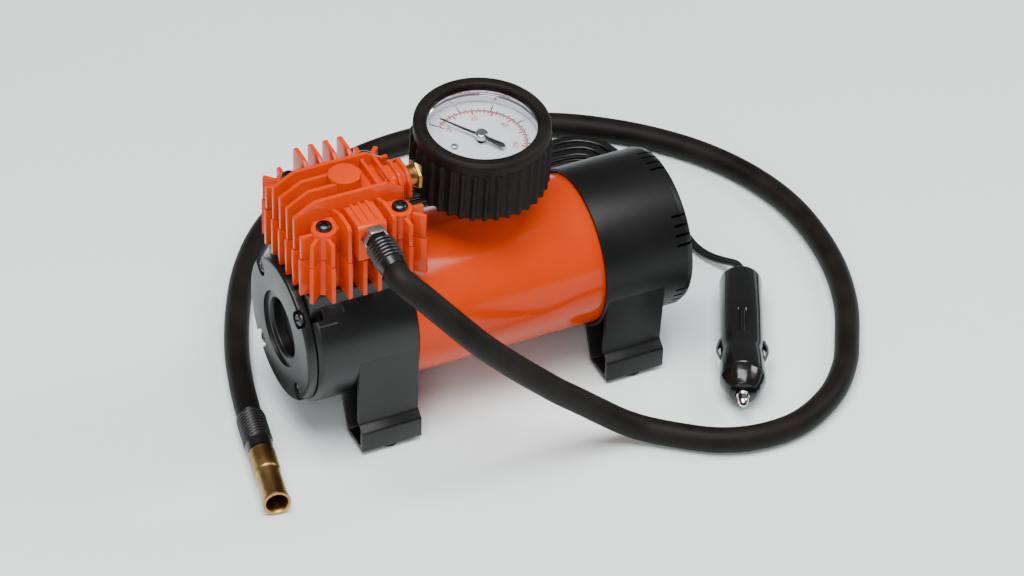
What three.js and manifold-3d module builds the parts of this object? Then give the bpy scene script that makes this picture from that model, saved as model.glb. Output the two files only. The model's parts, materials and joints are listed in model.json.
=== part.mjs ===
// Portable tyre inflator: a direct-drive single-cylinder air compressor with its 12 V motor,
// pressure gauge, air hose with valve chuck, and supply cable with accessory plug.
// Millimetres, +X from the crankcase cover to the rear cap, +Z up, -Y the hose side.
import * as THREE from 'three';
import { mergeVertices } from 'three/addons/utils/BufferGeometryUtils.js';
import Module from 'manifold-3d';

const wasm = await Module();
wasm.setup();

// ---- driving dimensions ----
const GAP = 0.3;
const AXIS_Z = 52;                 // motor and crank axis above the ground
const FINE = 28;                   // sides of the large round bodies
const COARSE = 14;                 // sides of the small ones
const COVER = { x0: 0, x1: 4.5, r: 32.8, dishR: 17.5, dishX: 9, screwR: 28.4 };
const CASE = { x0: 4.8, x1: 52, r: 34.9, wall: 3.5, backX: 45.5, padZ: 84.7, padY: 23 };
const CAN = { x0: 52.3, x1: 150, r: 34.7, wall: 2.2 };
const CAP = { x0: 142.6, x1: 187.3, r: 36.8, wall: 2.5, seatX: 150.3 };
const LEG = { kinkY: 34.2, kinkZ: 15.4, lipY: 38.4, lipZ: 12.4, soleZ: 2, innerY: 21.8, wall: 2.4 };
const FRONT_LEG = { x0: 23.2, x1: 52 };
const REAR_LEG = { x0: 143.6, x1: 172.1 };
const FOOT = { r: 6.4, y: 31.4, stemR: 2.1 };
const CYL = { x: 31.3, half: 29.4, z0: 85.1, z1: 104.3, core: 20.5, bore: 15, fin: 2 };
const FIN_Y = [3.8, 11.4, 19];     // fins on the X faces, by their Y
const FIN_X = [3.45, 10.35, 18.2]; // fins on the Y faces, by their distance from the bore
const HEAD = {
  z0: 104.6, half: 28.8, coreTop: 121, ledge: 117.5, finTop: 127.5, sideTop: 123.7, farTop: 125.7,
};
const SCREW = { dx: 17.75, y: 19, seatZ: 118.3, headR: 3.6, r: 2.2 };
const STROKE = 12;
const ROD = { length: 38, x0: 28.5, x1: 34, smallR: 4.6, bigR: 9 };
const PISTON = { r: 14.7, crown: 7.9, skirt: 6, wall: 2.4 };
const SHAFT = { x0: 38.8, x1: 172, r: 4 };
const HOSE = { r: 5.75, sides: 10, portZ: 117.5 };
const CABLE = { r: 2.5, sides: 8 };
const GAUGE = { x: 96, z: 118, tilt: 4.5, caseR: 27.6, bootR: 29.6, ribR: 31.2, windowR: 24.2 };
const PLUG = { rearX: 228, rearY: -7, turn: -26.9, r: 10.4, z: 10.5 };
const CENTRE_X = (COVER.x0 + CAP.x1) / 2;

// ---- solids ----
const toSolid = (geometry) => {
  const bare = geometry.index ? geometry.toNonIndexed() : geometry.clone();
  bare.deleteAttribute('normal');
  bare.deleteAttribute('uv');
  const merged = mergeVertices(bare, 1e-4);
  const mesh = new wasm.Mesh({
    numProp: 3,
    vertProperties: new Float32Array(merged.attributes.position.array),
    triVerts: new Uint32Array(merged.index.array),
  });
  return new wasm.Manifold(mesh);
};

const toGeometry = (solid) => {
  const { vertProperties, triVerts } = solid.getMesh();
  const geometry = new THREE.BufferGeometry();
  geometry.setAttribute('position', new THREE.BufferAttribute(new Float32Array(vertProperties), 3));
  geometry.setIndex(new THREE.BufferAttribute(new Uint32Array(triVerts), 1));
  geometry.computeVertexNormals();
  return geometry;
};

const join = (...solids) => solids.flat(Infinity).reduce((all, next) => all.add(next));
const cut = (solid, ...tools) => tools.flat(Infinity).reduce((left, tool) => left.subtract(tool), solid);

// A box between two corners.
const box = (x0, x1, y0, y1, z0, z1) => {
  const geometry = new THREE.BoxGeometry(x1 - x0, y1 - y0, z1 - z0);
  return toSolid(geometry.translate((x0 + x1) / 2, (y0 + y1) / 2, (z0 + z1) / 2));
};

// A turned body: profile of [radius, height] pairs around +Z, closed on itself or on the axis.
const turned = (profile, sides = FINE) => {
  const points = profile.map(([r, h]) => new THREE.Vector2(r, h));
  return new THREE.LatheGeometry(points, sides).rotateX(Math.PI / 2);
};
const ring = (r0, r1, h0, h1, sides = FINE) => {
  const outline = [[r0, h0], [r1, h0], [r1, h1], [r0, h1], [r0, h0]];
  return toSolid(turned(outline, sides));
};
const rod = (r, h0, h1, sides = COARSE) => toSolid(turned([[0, h0], [r, h0], [r, h1], [0, h1]], sides));

// The same bodies lying along X on the motor axis, and along any other axis.
const QUARTER = Math.PI / 2;
const alongX = (solid, y = 0, z = AXIS_Z) => solid.rotate([0, 90, 0]).translate([0, y, z]);
const ringX = (r0, r1, x0, x1, sides) => alongX(ring(r0, r1, x0, x1, sides));
const rodX = (r, x0, x1, y, z, sides) => alongX(rod(r, x0, x1, sides), y, z);
const rodY = (r, y0, y1, x, z, sides) => rod(r, y0, y1, sides).rotate([-90, 0, 0]).translate([x, 0, z]);
const rodZ = (r, z0, z1, x, y, sides) => rod(r, z0, z1, sides).translate([x, y, 0]);
const turnedX = (profile, sides = FINE) => alongX(toSolid(turned(profile, sides)));

// An outline of [y, z] points pushed along X.
const prismX = (outline, x0, x1) => {
  const shape = new THREE.Shape(outline.map(([y, z]) => new THREE.Vector2(y, z)));
  const geometry = new THREE.ExtrudeGeometry(shape, { depth: x1 - x0, bevelEnabled: false });
  geometry.applyMatrix4(new THREE.Matrix4().set(0, 0, 1, x0, 1, 0, 0, 0, 0, 1, 0, 0, 0, 0, 0, 1));
  return toSolid(geometry);
};
// An outline of [x, z] points pushed along Y.
const prismY = (outline, y0, y1) => {
  const shape = new THREE.Shape(outline.map(([x, z]) => new THREE.Vector2(x, z)));
  const geometry = new THREE.ExtrudeGeometry(shape, { depth: y1 - y0, bevelEnabled: false });
  geometry.applyMatrix4(new THREE.Matrix4().set(1, 0, 0, 0, 0, 0, -1, y1, 0, 1, 0, 0, 0, 0, 0, 1));
  return toSolid(geometry);
};
// An outline of [x, y] points pushed along Z.
const prismZ = (outline, z0, z1) => {
  const shape = new THREE.Shape(outline.map(([x, y]) => new THREE.Vector2(x, y)));
  const geometry = new THREE.ExtrudeGeometry(shape, { depth: z1 - z0, bevelEnabled: false });
  return toSolid(geometry.translate(0, 0, z0));
};
const polygon = (count, radius, phase = 0) =>
  Array.from({ length: count }, (_, i) => {
    const angle = phase + (i * 2 * Math.PI) / count;
    return [radius * Math.cos(angle), radius * Math.sin(angle)];
  });

// A round tube along a smooth route.
const tube = (points, radius, sides, steps) => {
  const corners = points.map((p) => new THREE.Vector3(...p));
  const route = new THREE.CatmullRomCurve3(corners, false, 'centripetal');
  const section = new THREE.Shape(polygon(sides, radius).map(([x, y]) => new THREE.Vector2(x, y)));
  const options = { steps, extrudePath: route, bevelEnabled: false };
  return toSolid(new THREE.ExtrudeGeometry(section, options));
};

// ---- the model ----
const model = new THREE.Group();
const machine = new THREE.Group();
machine.position.set(-CENTRE_X, 0, 0);
model.add(machine);

const FINISH = {
  orange: { color: 0xe85a14, roughness: 0.28, metalness: 0.0 },
  black: { color: 0x151515, roughness: 0.45, metalness: 0.0 },
  rubber: { color: 0x1d1a18, roughness: 0.7, metalness: 0.0 },
  steel: { color: 0xb8babd, roughness: 0.3, metalness: 1.0 },
  dark: { color: 0x2a2a2c, roughness: 0.35, metalness: 0.8 },
  chrome: { color: 0xdfe2e6, roughness: 0.1, metalness: 1.0 },
  brass: { color: 0xb5924a, roughness: 0.35, metalness: 1.0 },
  alloy: { color: 0xb9bcc0, roughness: 0.4, metalness: 1.0 },
  copper: { color: 0xa8592c, roughness: 0.4, metalness: 1.0 },
  ferrite: { color: 0x3a3a3d, roughness: 0.7, metalness: 0.0 },
  carbon: { color: 0x2b2b2b, roughness: 0.8, metalness: 0.0 },
  white: { color: 0xf1f2f4, roughness: 0.4, metalness: 0.0 },
  glass: { color: 0xe8f0f4, roughness: 0.05, metalness: 0.0 },
};
const add = (name, solid, finish, parent = machine) => {
  const mesh = new THREE.Mesh(toGeometry(solid), new THREE.MeshStandardMaterial(FINISH[finish]));
  mesh.name = name;
  parent.add(mesh);
  return mesh;
};

// ---- saddle legs, moulded with the crankcase and the rear cap ----
const legs = ({ x0, x1 }, topY) => {
  const t = LEG.wall;
  const outer = [
    [-topY, AXIS_Z], [-LEG.kinkY, LEG.kinkZ], [-LEG.lipY, LEG.lipZ], [-LEG.lipY, LEG.soleZ],
    [-LEG.innerY, LEG.soleZ], [-15.2, 17], [-12, 30], [-12, AXIS_Z],
  ];
  const hollow = [
    [-topY + t, AXIS_Z], [-LEG.kinkY + t, LEG.kinkZ + 1], [-LEG.lipY + t, LEG.lipZ + 1],
    [-LEG.lipY + t, LEG.soleZ + t], [-LEG.innerY - t * 0.6, LEG.soleZ + t], [-15.2 - t, 17], [-12 - t, 30],
    [-12 - t, AXIS_Z],
  ];
  const near = cut(
    prismX(outer, x0, x1),
    prismX(hollow, x0 - 1, x1 - t),
    rodZ(FOOT.stemR + GAP, 0, 5, (x0 + x1) / 2, -FOOT.y),
  );
  return [near, near.mirror([0, 1, 0])];
};

// ---- crankcase ----
const boltCircle = [45, 135, 225, 315].map((deg) => {
  const angle = THREE.MathUtils.degToRad(deg);
  return [COVER.screwR * Math.cos(angle), AXIS_Z + COVER.screwR * Math.sin(angle)];
});
const CORNERS = [[-1, -1], [1, -1], [-1, 1], [1, 1]];
const screwSpots = CORNERS.map(([sx, sy]) => [CYL.x + sx * SCREW.dx, sy * SCREW.y]);

const caseInner = CASE.r - CASE.wall;
const crankcase = () => {
  const skin = turnedX([
    [0, CASE.x0], [33.4, CASE.x0], [CASE.r, CASE.x0 + 2.2], [CASE.r, CASE.x1], [0, CASE.x1],
  ]);
  const pad = box(CASE.x0, CASE.x1, -CASE.padY, CASE.padY, 70, CASE.padZ);
  const spigot = rodX(32, CASE.x1 - 1, 56, 0, AXIS_Z, FINE);
  const outside = join(skin, pad, legs(FRONT_LEG, CASE.r), spigot);
  const chamber = join(
    rodX(caseInner, 0, CASE.backX, 0, AXIS_Z, FINE),
    rodX(29.8, CASE.x1 - 0.5, 57, 0, AXIS_Z, FINE),
  );
  const posts = boltCircle.map(([y, z]) => rodX(4.2, CASE.x0, 18, y, z));
  const room = cut(chamber, posts);
  return cut(
    outside,
    room,
    box(0, 60, -CASE.padY - 6, CASE.padY + 6, CASE.padZ, 90),
    rodX(11 + GAP, CASE.backX - 1, 50.5, 0, AXIS_Z, FINE),
    rodX(8, 50, 60, 0, AXIS_Z),
    rodZ(17.8, 60, 90, CYL.x, 0, FINE),
    boltCircle.map(([y, z]) => rodX(1.9, 0, 15, y, z, 12)),
    screwSpots.map(([x, y]) => rodZ(SCREW.r + GAP, 76, 90, x, y, 12)),
  );
};
add('crankcase', crankcase(), 'black');

const cover = () => {
  const plate = turnedX([
    [0, COVER.x0], [COVER.r - 0.8, COVER.x0], [COVER.r, 0.8], [COVER.r, COVER.x1], [19.5, COVER.x1],
    [19.5, COVER.dishX], [0, COVER.dishX],
  ]);
  const dish = turnedX([[0, -1], [COVER.dishR, -1], [COVER.dishR, 1.5], [13.2, 3], [13.2, 7], [0, 7]]);
  const pockets = boltCircle.map(([y, z]) => {
    const out = new THREE.Vector2(y, z - AXIS_Z).normalize();
    const round = rodX(4.1, -1, 2.5, y, z, 12);
    const mouth = rodX(4.1, -1, 2.5, y + out.x * 5, z + out.y * 5, 12);
    return round.add(mouth).hull();
  });
  return cut(plate, dish, pockets, boltCircle.map(([y, z]) => rodX(2.1, 0, 6, y, z, 12)));
};
add('crankcase_cover', cover(), 'black');

// A pan-head cross-recess screw along +X from its seat, or along -Z.
const screw = (r, headR, headH, length) => {
  const shank = rod(r, -headH * 0.2, length, 12);
  const outline = [[0, -headH], [headR * 0.86, -headH * 0.7], [headR, 0], [0, 0]];
  const recess = [0, 90].map((deg) =>
    box(-headR * 0.6, headR * 0.6, -0.4, 0.4, -headH - 1, -headH * 0.45).rotate([0, 0, deg]),
  );
  return cut(join(shank, toSolid(turned(outline, 16))), recess);
};
boltCircle.forEach(([y, z], i) => {
  const body = screw(1.6, 3.3, 2, 11.5).rotate([0, 90, 0]).translate([2.5 - GAP, y, z]);
  add(`cover_screw_${i + 1}`, body, 'dark');
});

// ---- motor ----
add('motor_can', ringX(CAN.r - CAN.wall, CAN.r, CAN.x0, CAN.x1), 'orange');
add('motor_shaft', rodX(SHAFT.r, SHAFT.x0, SHAFT.x1, 0, AXIS_Z), 'steel');
add('front_bearing', ringX(SHAFT.r + GAP, 11, CASE.backX + 0.2, 50.2, COARSE), 'steel');
add('rear_bearing', ringX(SHAFT.r + GAP, 8, 141, 146, COARSE), 'steel');

const POLES = 5;
const teeth = (width, r0, r1, x0, x1) =>
  Array.from({ length: POLES }, (_, i) =>
    box(x0, x1, -width / 2, width / 2, r0, r1).rotate([(i * 360) / POLES, 0, 0]).translate([0, 0, AXIS_Z]),
  );
const CORE = { x0: 70, x1: 114, r: 25.9, hub: 9.5, shoe: 22, tooth: 7 };
const core = () => {
  const drum = ringX(CORE.hub, CORE.shoe, CORE.x0 - 1, CORE.x1 + 1, FINE);
  const gaps = cut(drum, teeth(CORE.tooth, 5, 24, 60, 130));
  const mouths = Array.from({ length: POLES }, (_, i) =>
    box(CORE.x0 - 1, CORE.x1 + 1, -1.2, 1.2, 20, 28).rotate([(i + 0.5) * (360 / POLES), 0, 0])
      .translate([0, 0, AXIS_Z]),
  );
  return cut(ringX(SHAFT.r + GAP, CORE.r, CORE.x0, CORE.x1, FINE), gaps, mouths);
};
add('armature_core', core(), 'alloy');
const windings = () =>
  cut(
    ringX(CORE.hub + GAP, CORE.shoe - GAP, CORE.x0 - 7, CORE.x1 + 7, FINE),
    teeth(CORE.tooth + 2 * GAP, 5, 24, CORE.x0 - GAP, CORE.x1 + GAP),
  );
add('armature_windings', windings(), 'copper');
const commutator = () => {
  const body = ringX(SHAFT.r + GAP, 10.5, 123, 136, COARSE);
  const slots = Array.from({ length: 2 * POLES }, (_, i) =>
    box(124.5, 137, -0.3, 0.3, 9.4, 12).rotate([i * (180 / POLES), 0, 0]).translate([0, 0, AXIS_Z]),
  );
  return cut(body, slots);
};
add('commutator', commutator(), 'copper');

const magnet = (side) => {
  const shell = ringX(26.8, CAN.r - CAN.wall - GAP, 66, 118, FINE);
  const gapTop = box(60, 125, -15, 15, AXIS_Z + 5, 100);
  const gapBottom = box(60, 125, -15, 15, 0, AXIS_Z - 5);
  const otherHalf = side < 0 ? box(60, 125, 0, 40, 0, 100) : box(60, 125, -40, 0, 0, 100);
  return cut(shell, gapTop, gapBottom, otherHalf);
};
add('magnet_near', magnet(-1), 'ferrite');
add('magnet_far', magnet(1), 'ferrite');

const BRUSH = { x0: 126, x1: 134, y0: 10.9, y1: 21, half: 3 };
const brushPlate = () => {
  const disc = ringX(9, CAN.r - CAN.wall - GAP, 137.5, 140.4, FINE);
  const boss = ringX(8 + GAP, 10.4, 137.6, 146.2, COARSE);
  const holders = [-1, 1].map((s) => {
    const [y0, y1] = s < 0 ? [-24, -12.5] : [12.5, 24];
    const outer = box(124.5, 138, y0, y1, AXIS_Z - 5, AXIS_Z + 5);
    const reach = BRUSH.half + GAP;
    const slot = box(BRUSH.x0 - GAP, BRUSH.x1 + GAP, -22, 22, AXIS_Z - reach, AXIS_Z + reach);
    return cut(outer, slot);
  });
  return join(disc, boss, holders);
};
add('brush_plate', brushPlate(), 'black');
const brush = (s) => {
  const [y0, y1] = s < 0 ? [-BRUSH.y1, -BRUSH.y0] : [BRUSH.y0, BRUSH.y1];
  return box(BRUSH.x0, BRUSH.x1, y0, y1, AXIS_Z - BRUSH.half, AXIS_Z + BRUSH.half);
};
add('brush_near', brush(-1), 'carbon');
add('brush_far', brush(1), 'carbon');

const fan = () => {
  const hub = ringX(SHAFT.r + GAP, 8, 158, 171, COARSE);
  const blades = Array.from({ length: 7 }, (_, i) =>
    box(-6, 6, -0.8, 0.8, 7, 29).rotate([0, 0, 32]).translate([164.5, 0, 0])
      .rotate([(i * 360) / 7, 0, 0]).translate([0, 0, AXIS_Z]),
  );
  return join(hub, blades);
};
add('cooling_fan', fan(), 'black');

// ---- rear cap ----
const GRILLE_GROUPS = 6;
const grille = Array.from({ length: GRILLE_GROUPS * 4 }, (_, i) => {
  const angle = 27 + Math.floor(i / 4) * (360 / GRILLE_GROUPS) + ((i % 4) - 1.5) * 7;
  return box(178.5, 190, -40, -32.5, -0.8, 0.8).rotate([-angle, 0, 0]).translate([0, 0, AXIS_Z]);
});
const rearCap = () => {
  const skin = turnedX([
    [0, CAP.x0], [CAP.r - 0.6, CAP.x0], [CAP.r, CAP.x0 + 0.6], [CAP.r, CAP.x1 - 4],
    [CAP.r - 1.2, CAP.x1 - 1.2], [CAP.r - 4, CAP.x1], [0, CAP.x1],
  ]);
  const room = join(
    rodX(CAN.r + GAP, CAP.x0 - 5, CAP.seatX, 0, AXIS_Z, FINE),
    rodX(CAP.r - CAP.wall, CAP.seatX - 1, CAP.x1 - CAP.wall, 0, AXIS_Z, FINE),
  );
  return cut(join(skin, legs(REAR_LEG, CAP.r)), room, grille, rodY(3.9, 30, 40, 164, 44));
};
add('rear_cap', rearCap(), 'black');

// ---- rubber feet ----
[FRONT_LEG, REAR_LEG].forEach(({ x0, x1 }, pair) => {
  [-1, 1].forEach((side, i) => {
    const x = (x0 + x1) / 2;
    const body = toSolid(turned([
      [0, 0], [FOOT.r - 1, 0], [FOOT.r, LEG.soleZ - GAP], [FOOT.stemR, LEG.soleZ - GAP],
      [FOOT.stemR, 6.5], [0, 6.5],
    ], 16)).translate([x, side * FOOT.y, 0]);
    add(`rubber_foot_${2 * pair + i + 1}`, body, 'rubber');
  });
});

// ---- crank, rod and piston, at bottom dead centre ----
const pinZ = AXIS_Z - STROKE / 2;
const wristZ = pinZ + ROD.length;
const crankDisc = () => {
  const web = rodX(9, 39, 45, 0, AXIS_Z);
  const weight = cut(rodX(20, 39, 45, 0, AXIS_Z, FINE), box(30, 50, -25, 25, 20, AXIS_Z + 4));
  const arm = box(39, 45, -6, 6, pinZ - 5, AXIS_Z);
  const pin = rodX(3, ROD.x1 + GAP, 39.5, 0, pinZ, 16);
  return cut(join(web, weight, arm, pin), rodX(SHAFT.r + GAP, 38.5, 46, 0, AXIS_Z));
};
add('crank_disc', crankDisc(), 'steel');
const connectingRod = () => {
  const bigEnd = rodX(ROD.bigR, ROD.x0, ROD.x1, 0, pinZ);
  const smallEnd = rodX(ROD.smallR, ROD.x0 - 1, ROD.x1 + 1, 0, wristZ);
  const bar = box(29.4, 33.1, -3, 3, pinZ + 6, wristZ - 3);
  return cut(
    join(bigEnd, smallEnd, bar),
    rodX(6.5 + GAP, 20, 40, 0, pinZ),
    rodX(1.8 + GAP, 20, 40, 0, wristZ, 12),
  );
};
add('connecting_rod', connectingRod(), 'alloy');
const bigEndBearing = ringX(3.3, 6.5, ROD.x0, ROD.x1, COARSE).translate([0, 0, pinZ - AXIS_Z]);
add('big_end_bearing', bigEndBearing, 'steel');
add('wrist_pin', rodX(1.8, CYL.x - 13.4, CYL.x + 13.4, 0, wristZ, 12), 'steel');
const crownZ = wristZ + PISTON.crown;
const piston = () => {
  const body = rodZ(PISTON.r, wristZ - PISTON.skirt, crownZ, CYL.x, 0, FINE);
  const room = rodZ(PISTON.r - PISTON.wall, 60, crownZ - 3, CYL.x, 0, FINE);
  const groove = ring(PISTON.r - 1.5, 20, crownZ - 3, crownZ - 1.2, FINE).translate([CYL.x, 0, 0]);
  return cut(body, room, groove, rodX(1.8 + GAP, 0, 60, 0, wristZ, 12));
};
add('piston', piston(), 'alloy');
const seal = ring(PISTON.r - 1.2, PISTON.r + 0.1, crownZ - 2.7, crownZ - 1.5, FINE)
  .translate([CYL.x, 0, 0]);
add('piston_seal', seal, 'carbon');

// ---- finned cylinder ----
// Plates round a square core: on the X faces, on the Y faces and one diagonal at each corner.
const bothWays = (distances) => distances.flatMap((d) => [-d, d]);
const CORNER_ANGLES = [45, 135, 225, 315];
const OVERHANG = 1.4;              // how far the Y-face fins stand past the X-face fins
const plates = (half, z0, z1, t) => {
  const reach = half + OVERHANG;
  return [
    bothWays(FIN_Y).map((y) => box(CYL.x - half, CYL.x + half, y - t / 2, y + t / 2, z0, z1)),
    bothWays(FIN_X).map((d) => box(CYL.x + d - t / 2, CYL.x + d + t / 2, -reach, reach, z0, z1)),
    CORNER_ANGLES.map((deg) =>
      box(24, 38.5, -t / 2, t / 2, z0, z1).rotate([0, 0, deg]).translate([CYL.x, 0, 0]),
    ),
  ];
};
const finnedCylinder = () => {
  const core = box(CYL.x - CYL.core, CYL.x + CYL.core, -CYL.core, CYL.core, CYL.z0, CYL.z1);
  const posts = screwSpots.map(([x, y]) => rodZ(5.2, CYL.z0, CYL.z1, x, y, 16));
  const fins = plates(CYL.half, CYL.z0, CYL.z1, CYL.fin);
  const liner = rodZ(17.5, 76, CYL.z1, CYL.x, 0, FINE);
  return cut(
    join(core, posts, fins, liner),
    rodZ(CYL.bore, 70, 110, CYL.x, 0, FINE),
    screwSpots.map(([x, y]) => rodZ(SCREW.r + GAP, 80, 110, x, y, 12)),
    rodX(CAN.r + 0.5, CASE.x1 - 1.5, 70, 0, AXIS_Z, FINE),
  );
};
add('cylinder', finnedCylinder(), 'orange');
const gasket = ring(CYL.bore + 0.5, 21, HEAD.z0, HEAD.z0 + 0.6, FINE).translate([CYL.x, 0, 0]);
add('head_gasket', gasket, 'carbon');
const valvePlate = () =>
  cut(
    rodZ(21, HEAD.z0 + 0.9, HEAD.z0 + 2.9, CYL.x, 0, FINE),
    rodZ(2.2, 100, 120, CYL.x - 6, 0, 12),
    rodZ(2.2, 100, 120, CYL.x + 6, 0, 12),
  );
add('valve_plate', valvePlate(), 'steel');

// ---- cylinder head ----
const head = () => {
  const h = HEAD.half;
  const [x0, x1] = [CYL.x - h, CYL.x + h];
  const reach = h + OVERHANG;
  const LOW = 116.6;
  const core = box(CYL.x - CYL.core, CYL.x + CYL.core, -CYL.core, CYL.core, HEAD.z0, HEAD.ledge);
  const spine = box(CYL.x - CYL.core, CYL.x + CYL.core, -12.4, 12.4, HEAD.z0, HEAD.coreTop);
  const longFin = (y, end) =>
    prismY([
      [x0, HEAD.z0], [x0, 121.8], [x0 + 10, HEAD.finTop], [end - 8, HEAD.finTop], [end, 122.5],
      [end, HEAD.z0],
    ], y - 1, y + 1);
  const longFins = [[-11.4, 54], [-3.8, 34], [3.8, 34], [11.4, 54]].map(([y, end]) => longFin(y, end));
  const sidePlate = (x, side, top) => {
    const outline = [
      [10, HEAD.z0], [reach, HEAD.z0], [reach, top - 1.5], [h, top], [19, top],
      [12, HEAD.coreTop], [10, HEAD.coreTop],
    ];
    return prismX(outline.map(([y, z]) => [side * y, z]), x - 1, x + 1);
  };
  const farPlates = bothWays([FIN_X[0], FIN_X[1]]).map((d) => sidePlate(CYL.x + d, 1, HEAD.farTop));
  const nearPlates = bothWays([FIN_X[1]]).map((d) => sidePlate(CYL.x + d, -1, HEAD.sideTop));
  const lowFins = [
    bothWays([FIN_Y[2]]).map((y) => box(x0, x1, y - 1, y + 1, HEAD.z0, LOW)),
    bothWays([FIN_X[2]]).map((d) => box(CYL.x + d - 1, CYL.x + d + 1, -reach, reach, HEAD.z0, LOW)),
    CORNER_ANGLES.map((deg) =>
      box(24, 38, -1, 1, HEAD.z0, LOW).rotate([0, 0, deg]).translate([CYL.x, 0, 0]),
    ),
  ];
  const backFins = bothWays([FIN_Y[0]]).map((y) => box(CYL.x + 10, x1, y - 1, y + 1, HEAD.z0, 111));
  const bosses = screwSpots.map(([x, y]) => rodZ(5.8, HEAD.z0, SCREW.seatZ, x, y));
  const topBoss = rodZ(7.3, 118, 129, CYL.x, 0);
  const hosePort = prismX([
    [-31, HEAD.z0], [-31, 121.5], [-29.5, 122.8], [-15, 122.8], [-11, 119], [-11, HEAD.z0],
  ], CYL.x - 6.8, CYL.x + 6.8);
  const gaugePort = prismX([
    [-9, 113], [-9, 121], [-5, 125], [5, 125], [9, 121], [9, 113], [6, 110], [-6, 110],
  ], 48, x1);
  const ridges = [43, 50].map((x) => box(x, x + 2, -11, 11, 119, 126));
  const solid = join(
    core, spine, longFins, farPlates, nearPlates, lowFins, backFins, bosses, topBoss, hosePort,
    gaugePort, ridges,
  );
  return cut(
    solid,
    rodZ(21 + GAP, 100, HEAD.z0 + 3.2, CYL.x, 0, FINE),
    rodZ(11, 106, 119, CYL.x, 0),
    rodY(3.6, -35, -20, CYL.x, HOSE.portZ, 16),
    rodY(2.6, -22, -5, CYL.x, 115.5, 12),
    rodX(4.8 + GAP, 51, 65, 0, GAUGE.z),
    rodX(2.6, 38, 53, 0, 116.3, 12),
    screwSpots.map(([x, y]) => rodZ(SCREW.r + GAP, 100, 125, x, y, 12)),
    screwSpots.map(([x, y]) => rodZ(SCREW.headR + 0.6, SCREW.seatZ, 128, x, y, 16)),
  );
};
add('cylinder_head', head(), 'orange');
screwSpots.forEach(([x, y], i) => {
  const body = screw(SCREW.r, SCREW.headR, 2.3, 40)
    .rotate([180, 0, 0])
    .translate([x, y, SCREW.seatZ + GAP]);
  add(`head_screw_${i + 1}`, body, 'dark');
});

// ---- hose nut ----
const hoseNut = () => {
  const hex = toSolid(new THREE.CylinderGeometry(6.3, 6.3, 4.9, 6)).translate([CYL.x, -33.75, HOSE.portZ]);
  return join(hex, rodY(3.2, -34, -22.5, CYL.x, HOSE.portZ, 16));
};
add('hose_nut', hoseNut(), 'steel');

// ---- pressure gauge, tilted about its stem ----
const gauge = new THREE.Group();
gauge.position.set(GAUGE.x, 0, GAUGE.z);
gauge.rotation.x = THREE.MathUtils.degToRad(GAUGE.tilt);
machine.add(gauge);
const fitting = () => {
  const hex = toSolid(new THREE.CylinderGeometry(6.9, 6.9, 4, 6))
    .rotate([0, 0, 90])
    .translate([-30, 0, 0]);
  const thread = rodX(4.8, -44, -31, 0, 0, 16);
  return cut(join(hex, thread), rodX(1.5, -50, -30, 0, 0, 8));
};
add('gauge_fitting', fitting(), 'brass', gauge);
const FLOOR_Z = -9;
const gaugeCase = () => {
  const r = GAUGE.caseR;
  return toSolid(turned([
    [0, FLOOR_Z], [r, FLOOR_Z], [r, 16.7], [r - 1.2, 16.7], [r - 1.2, FLOOR_Z + 1.2], [0, FLOOR_Z + 1.2],
  ], FINE));
};
add('gauge_case', gaugeCase(), 'dark', gauge);
const BOOT = { z0: -10.6, z1: 21, seat: 17, ribs: 36, ribTop: 13.5 };
const boot = () => {
  const teethOutline = Array.from({ length: BOOT.ribs }, (_, i) =>
    [[-0.26, GAUGE.bootR - 0.1], [0, GAUGE.ribR], [0.26, GAUGE.bootR - 0.1]].map(([k, r]) => {
      const angle = ((i + k) * 2 * Math.PI) / BOOT.ribs;
      return [r * Math.cos(angle), r * Math.sin(angle)];
    })).flat();
  const shell = turned([
    [24, BOOT.z0], [GAUGE.bootR, BOOT.z0], [GAUGE.bootR, BOOT.z1 - 1.2], [GAUGE.bootR - 1.2, BOOT.z1],
    [GAUGE.windowR + 0.6, BOOT.z1], [GAUGE.windowR, BOOT.z1 - 0.6], [GAUGE.windowR, BOOT.seat],
    [GAUGE.caseR + GAP, BOOT.seat], [GAUGE.caseR + GAP, FLOOR_Z - GAP],
    [24, FLOOR_Z - GAP], [24, BOOT.z0],
  ], FINE);
  const ribs = cut(
    prismZ(teethOutline, BOOT.z0, BOOT.ribTop),
    rod(GAUGE.bootR - 0.6, BOOT.z0 - 1, BOOT.ribTop + 1, FINE),
  );
  return cut(join(toSolid(shell), ribs), box(-40, -20, -7.2, 7.2, -12, 7.4));
};
add('gauge_boot', boot(), 'rubber', gauge);
add('gauge_lens', rod(GAUGE.caseR - 1.5, 15.2, 16.7, FINE), 'glass', gauge);
const STOP_PIN = { angle: 129.5, reach: 16, r: 0.45 };
const dial = () => {
  const angle = THREE.MathUtils.degToRad(STOP_PIN.angle);
  const [x, y] = [STOP_PIN.reach * Math.cos(angle), STOP_PIN.reach * Math.sin(angle)];
  const plate = cut(rod(GAUGE.caseR - 1.5, 8.2, 9, FINE), rod(1.6, 5, 12, 12));
  return join(plate, rodZ(STOP_PIN.r, 8.6, 12.6, x, y, 8));
};
add('gauge_dial', dial(), 'white', gauge);
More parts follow.
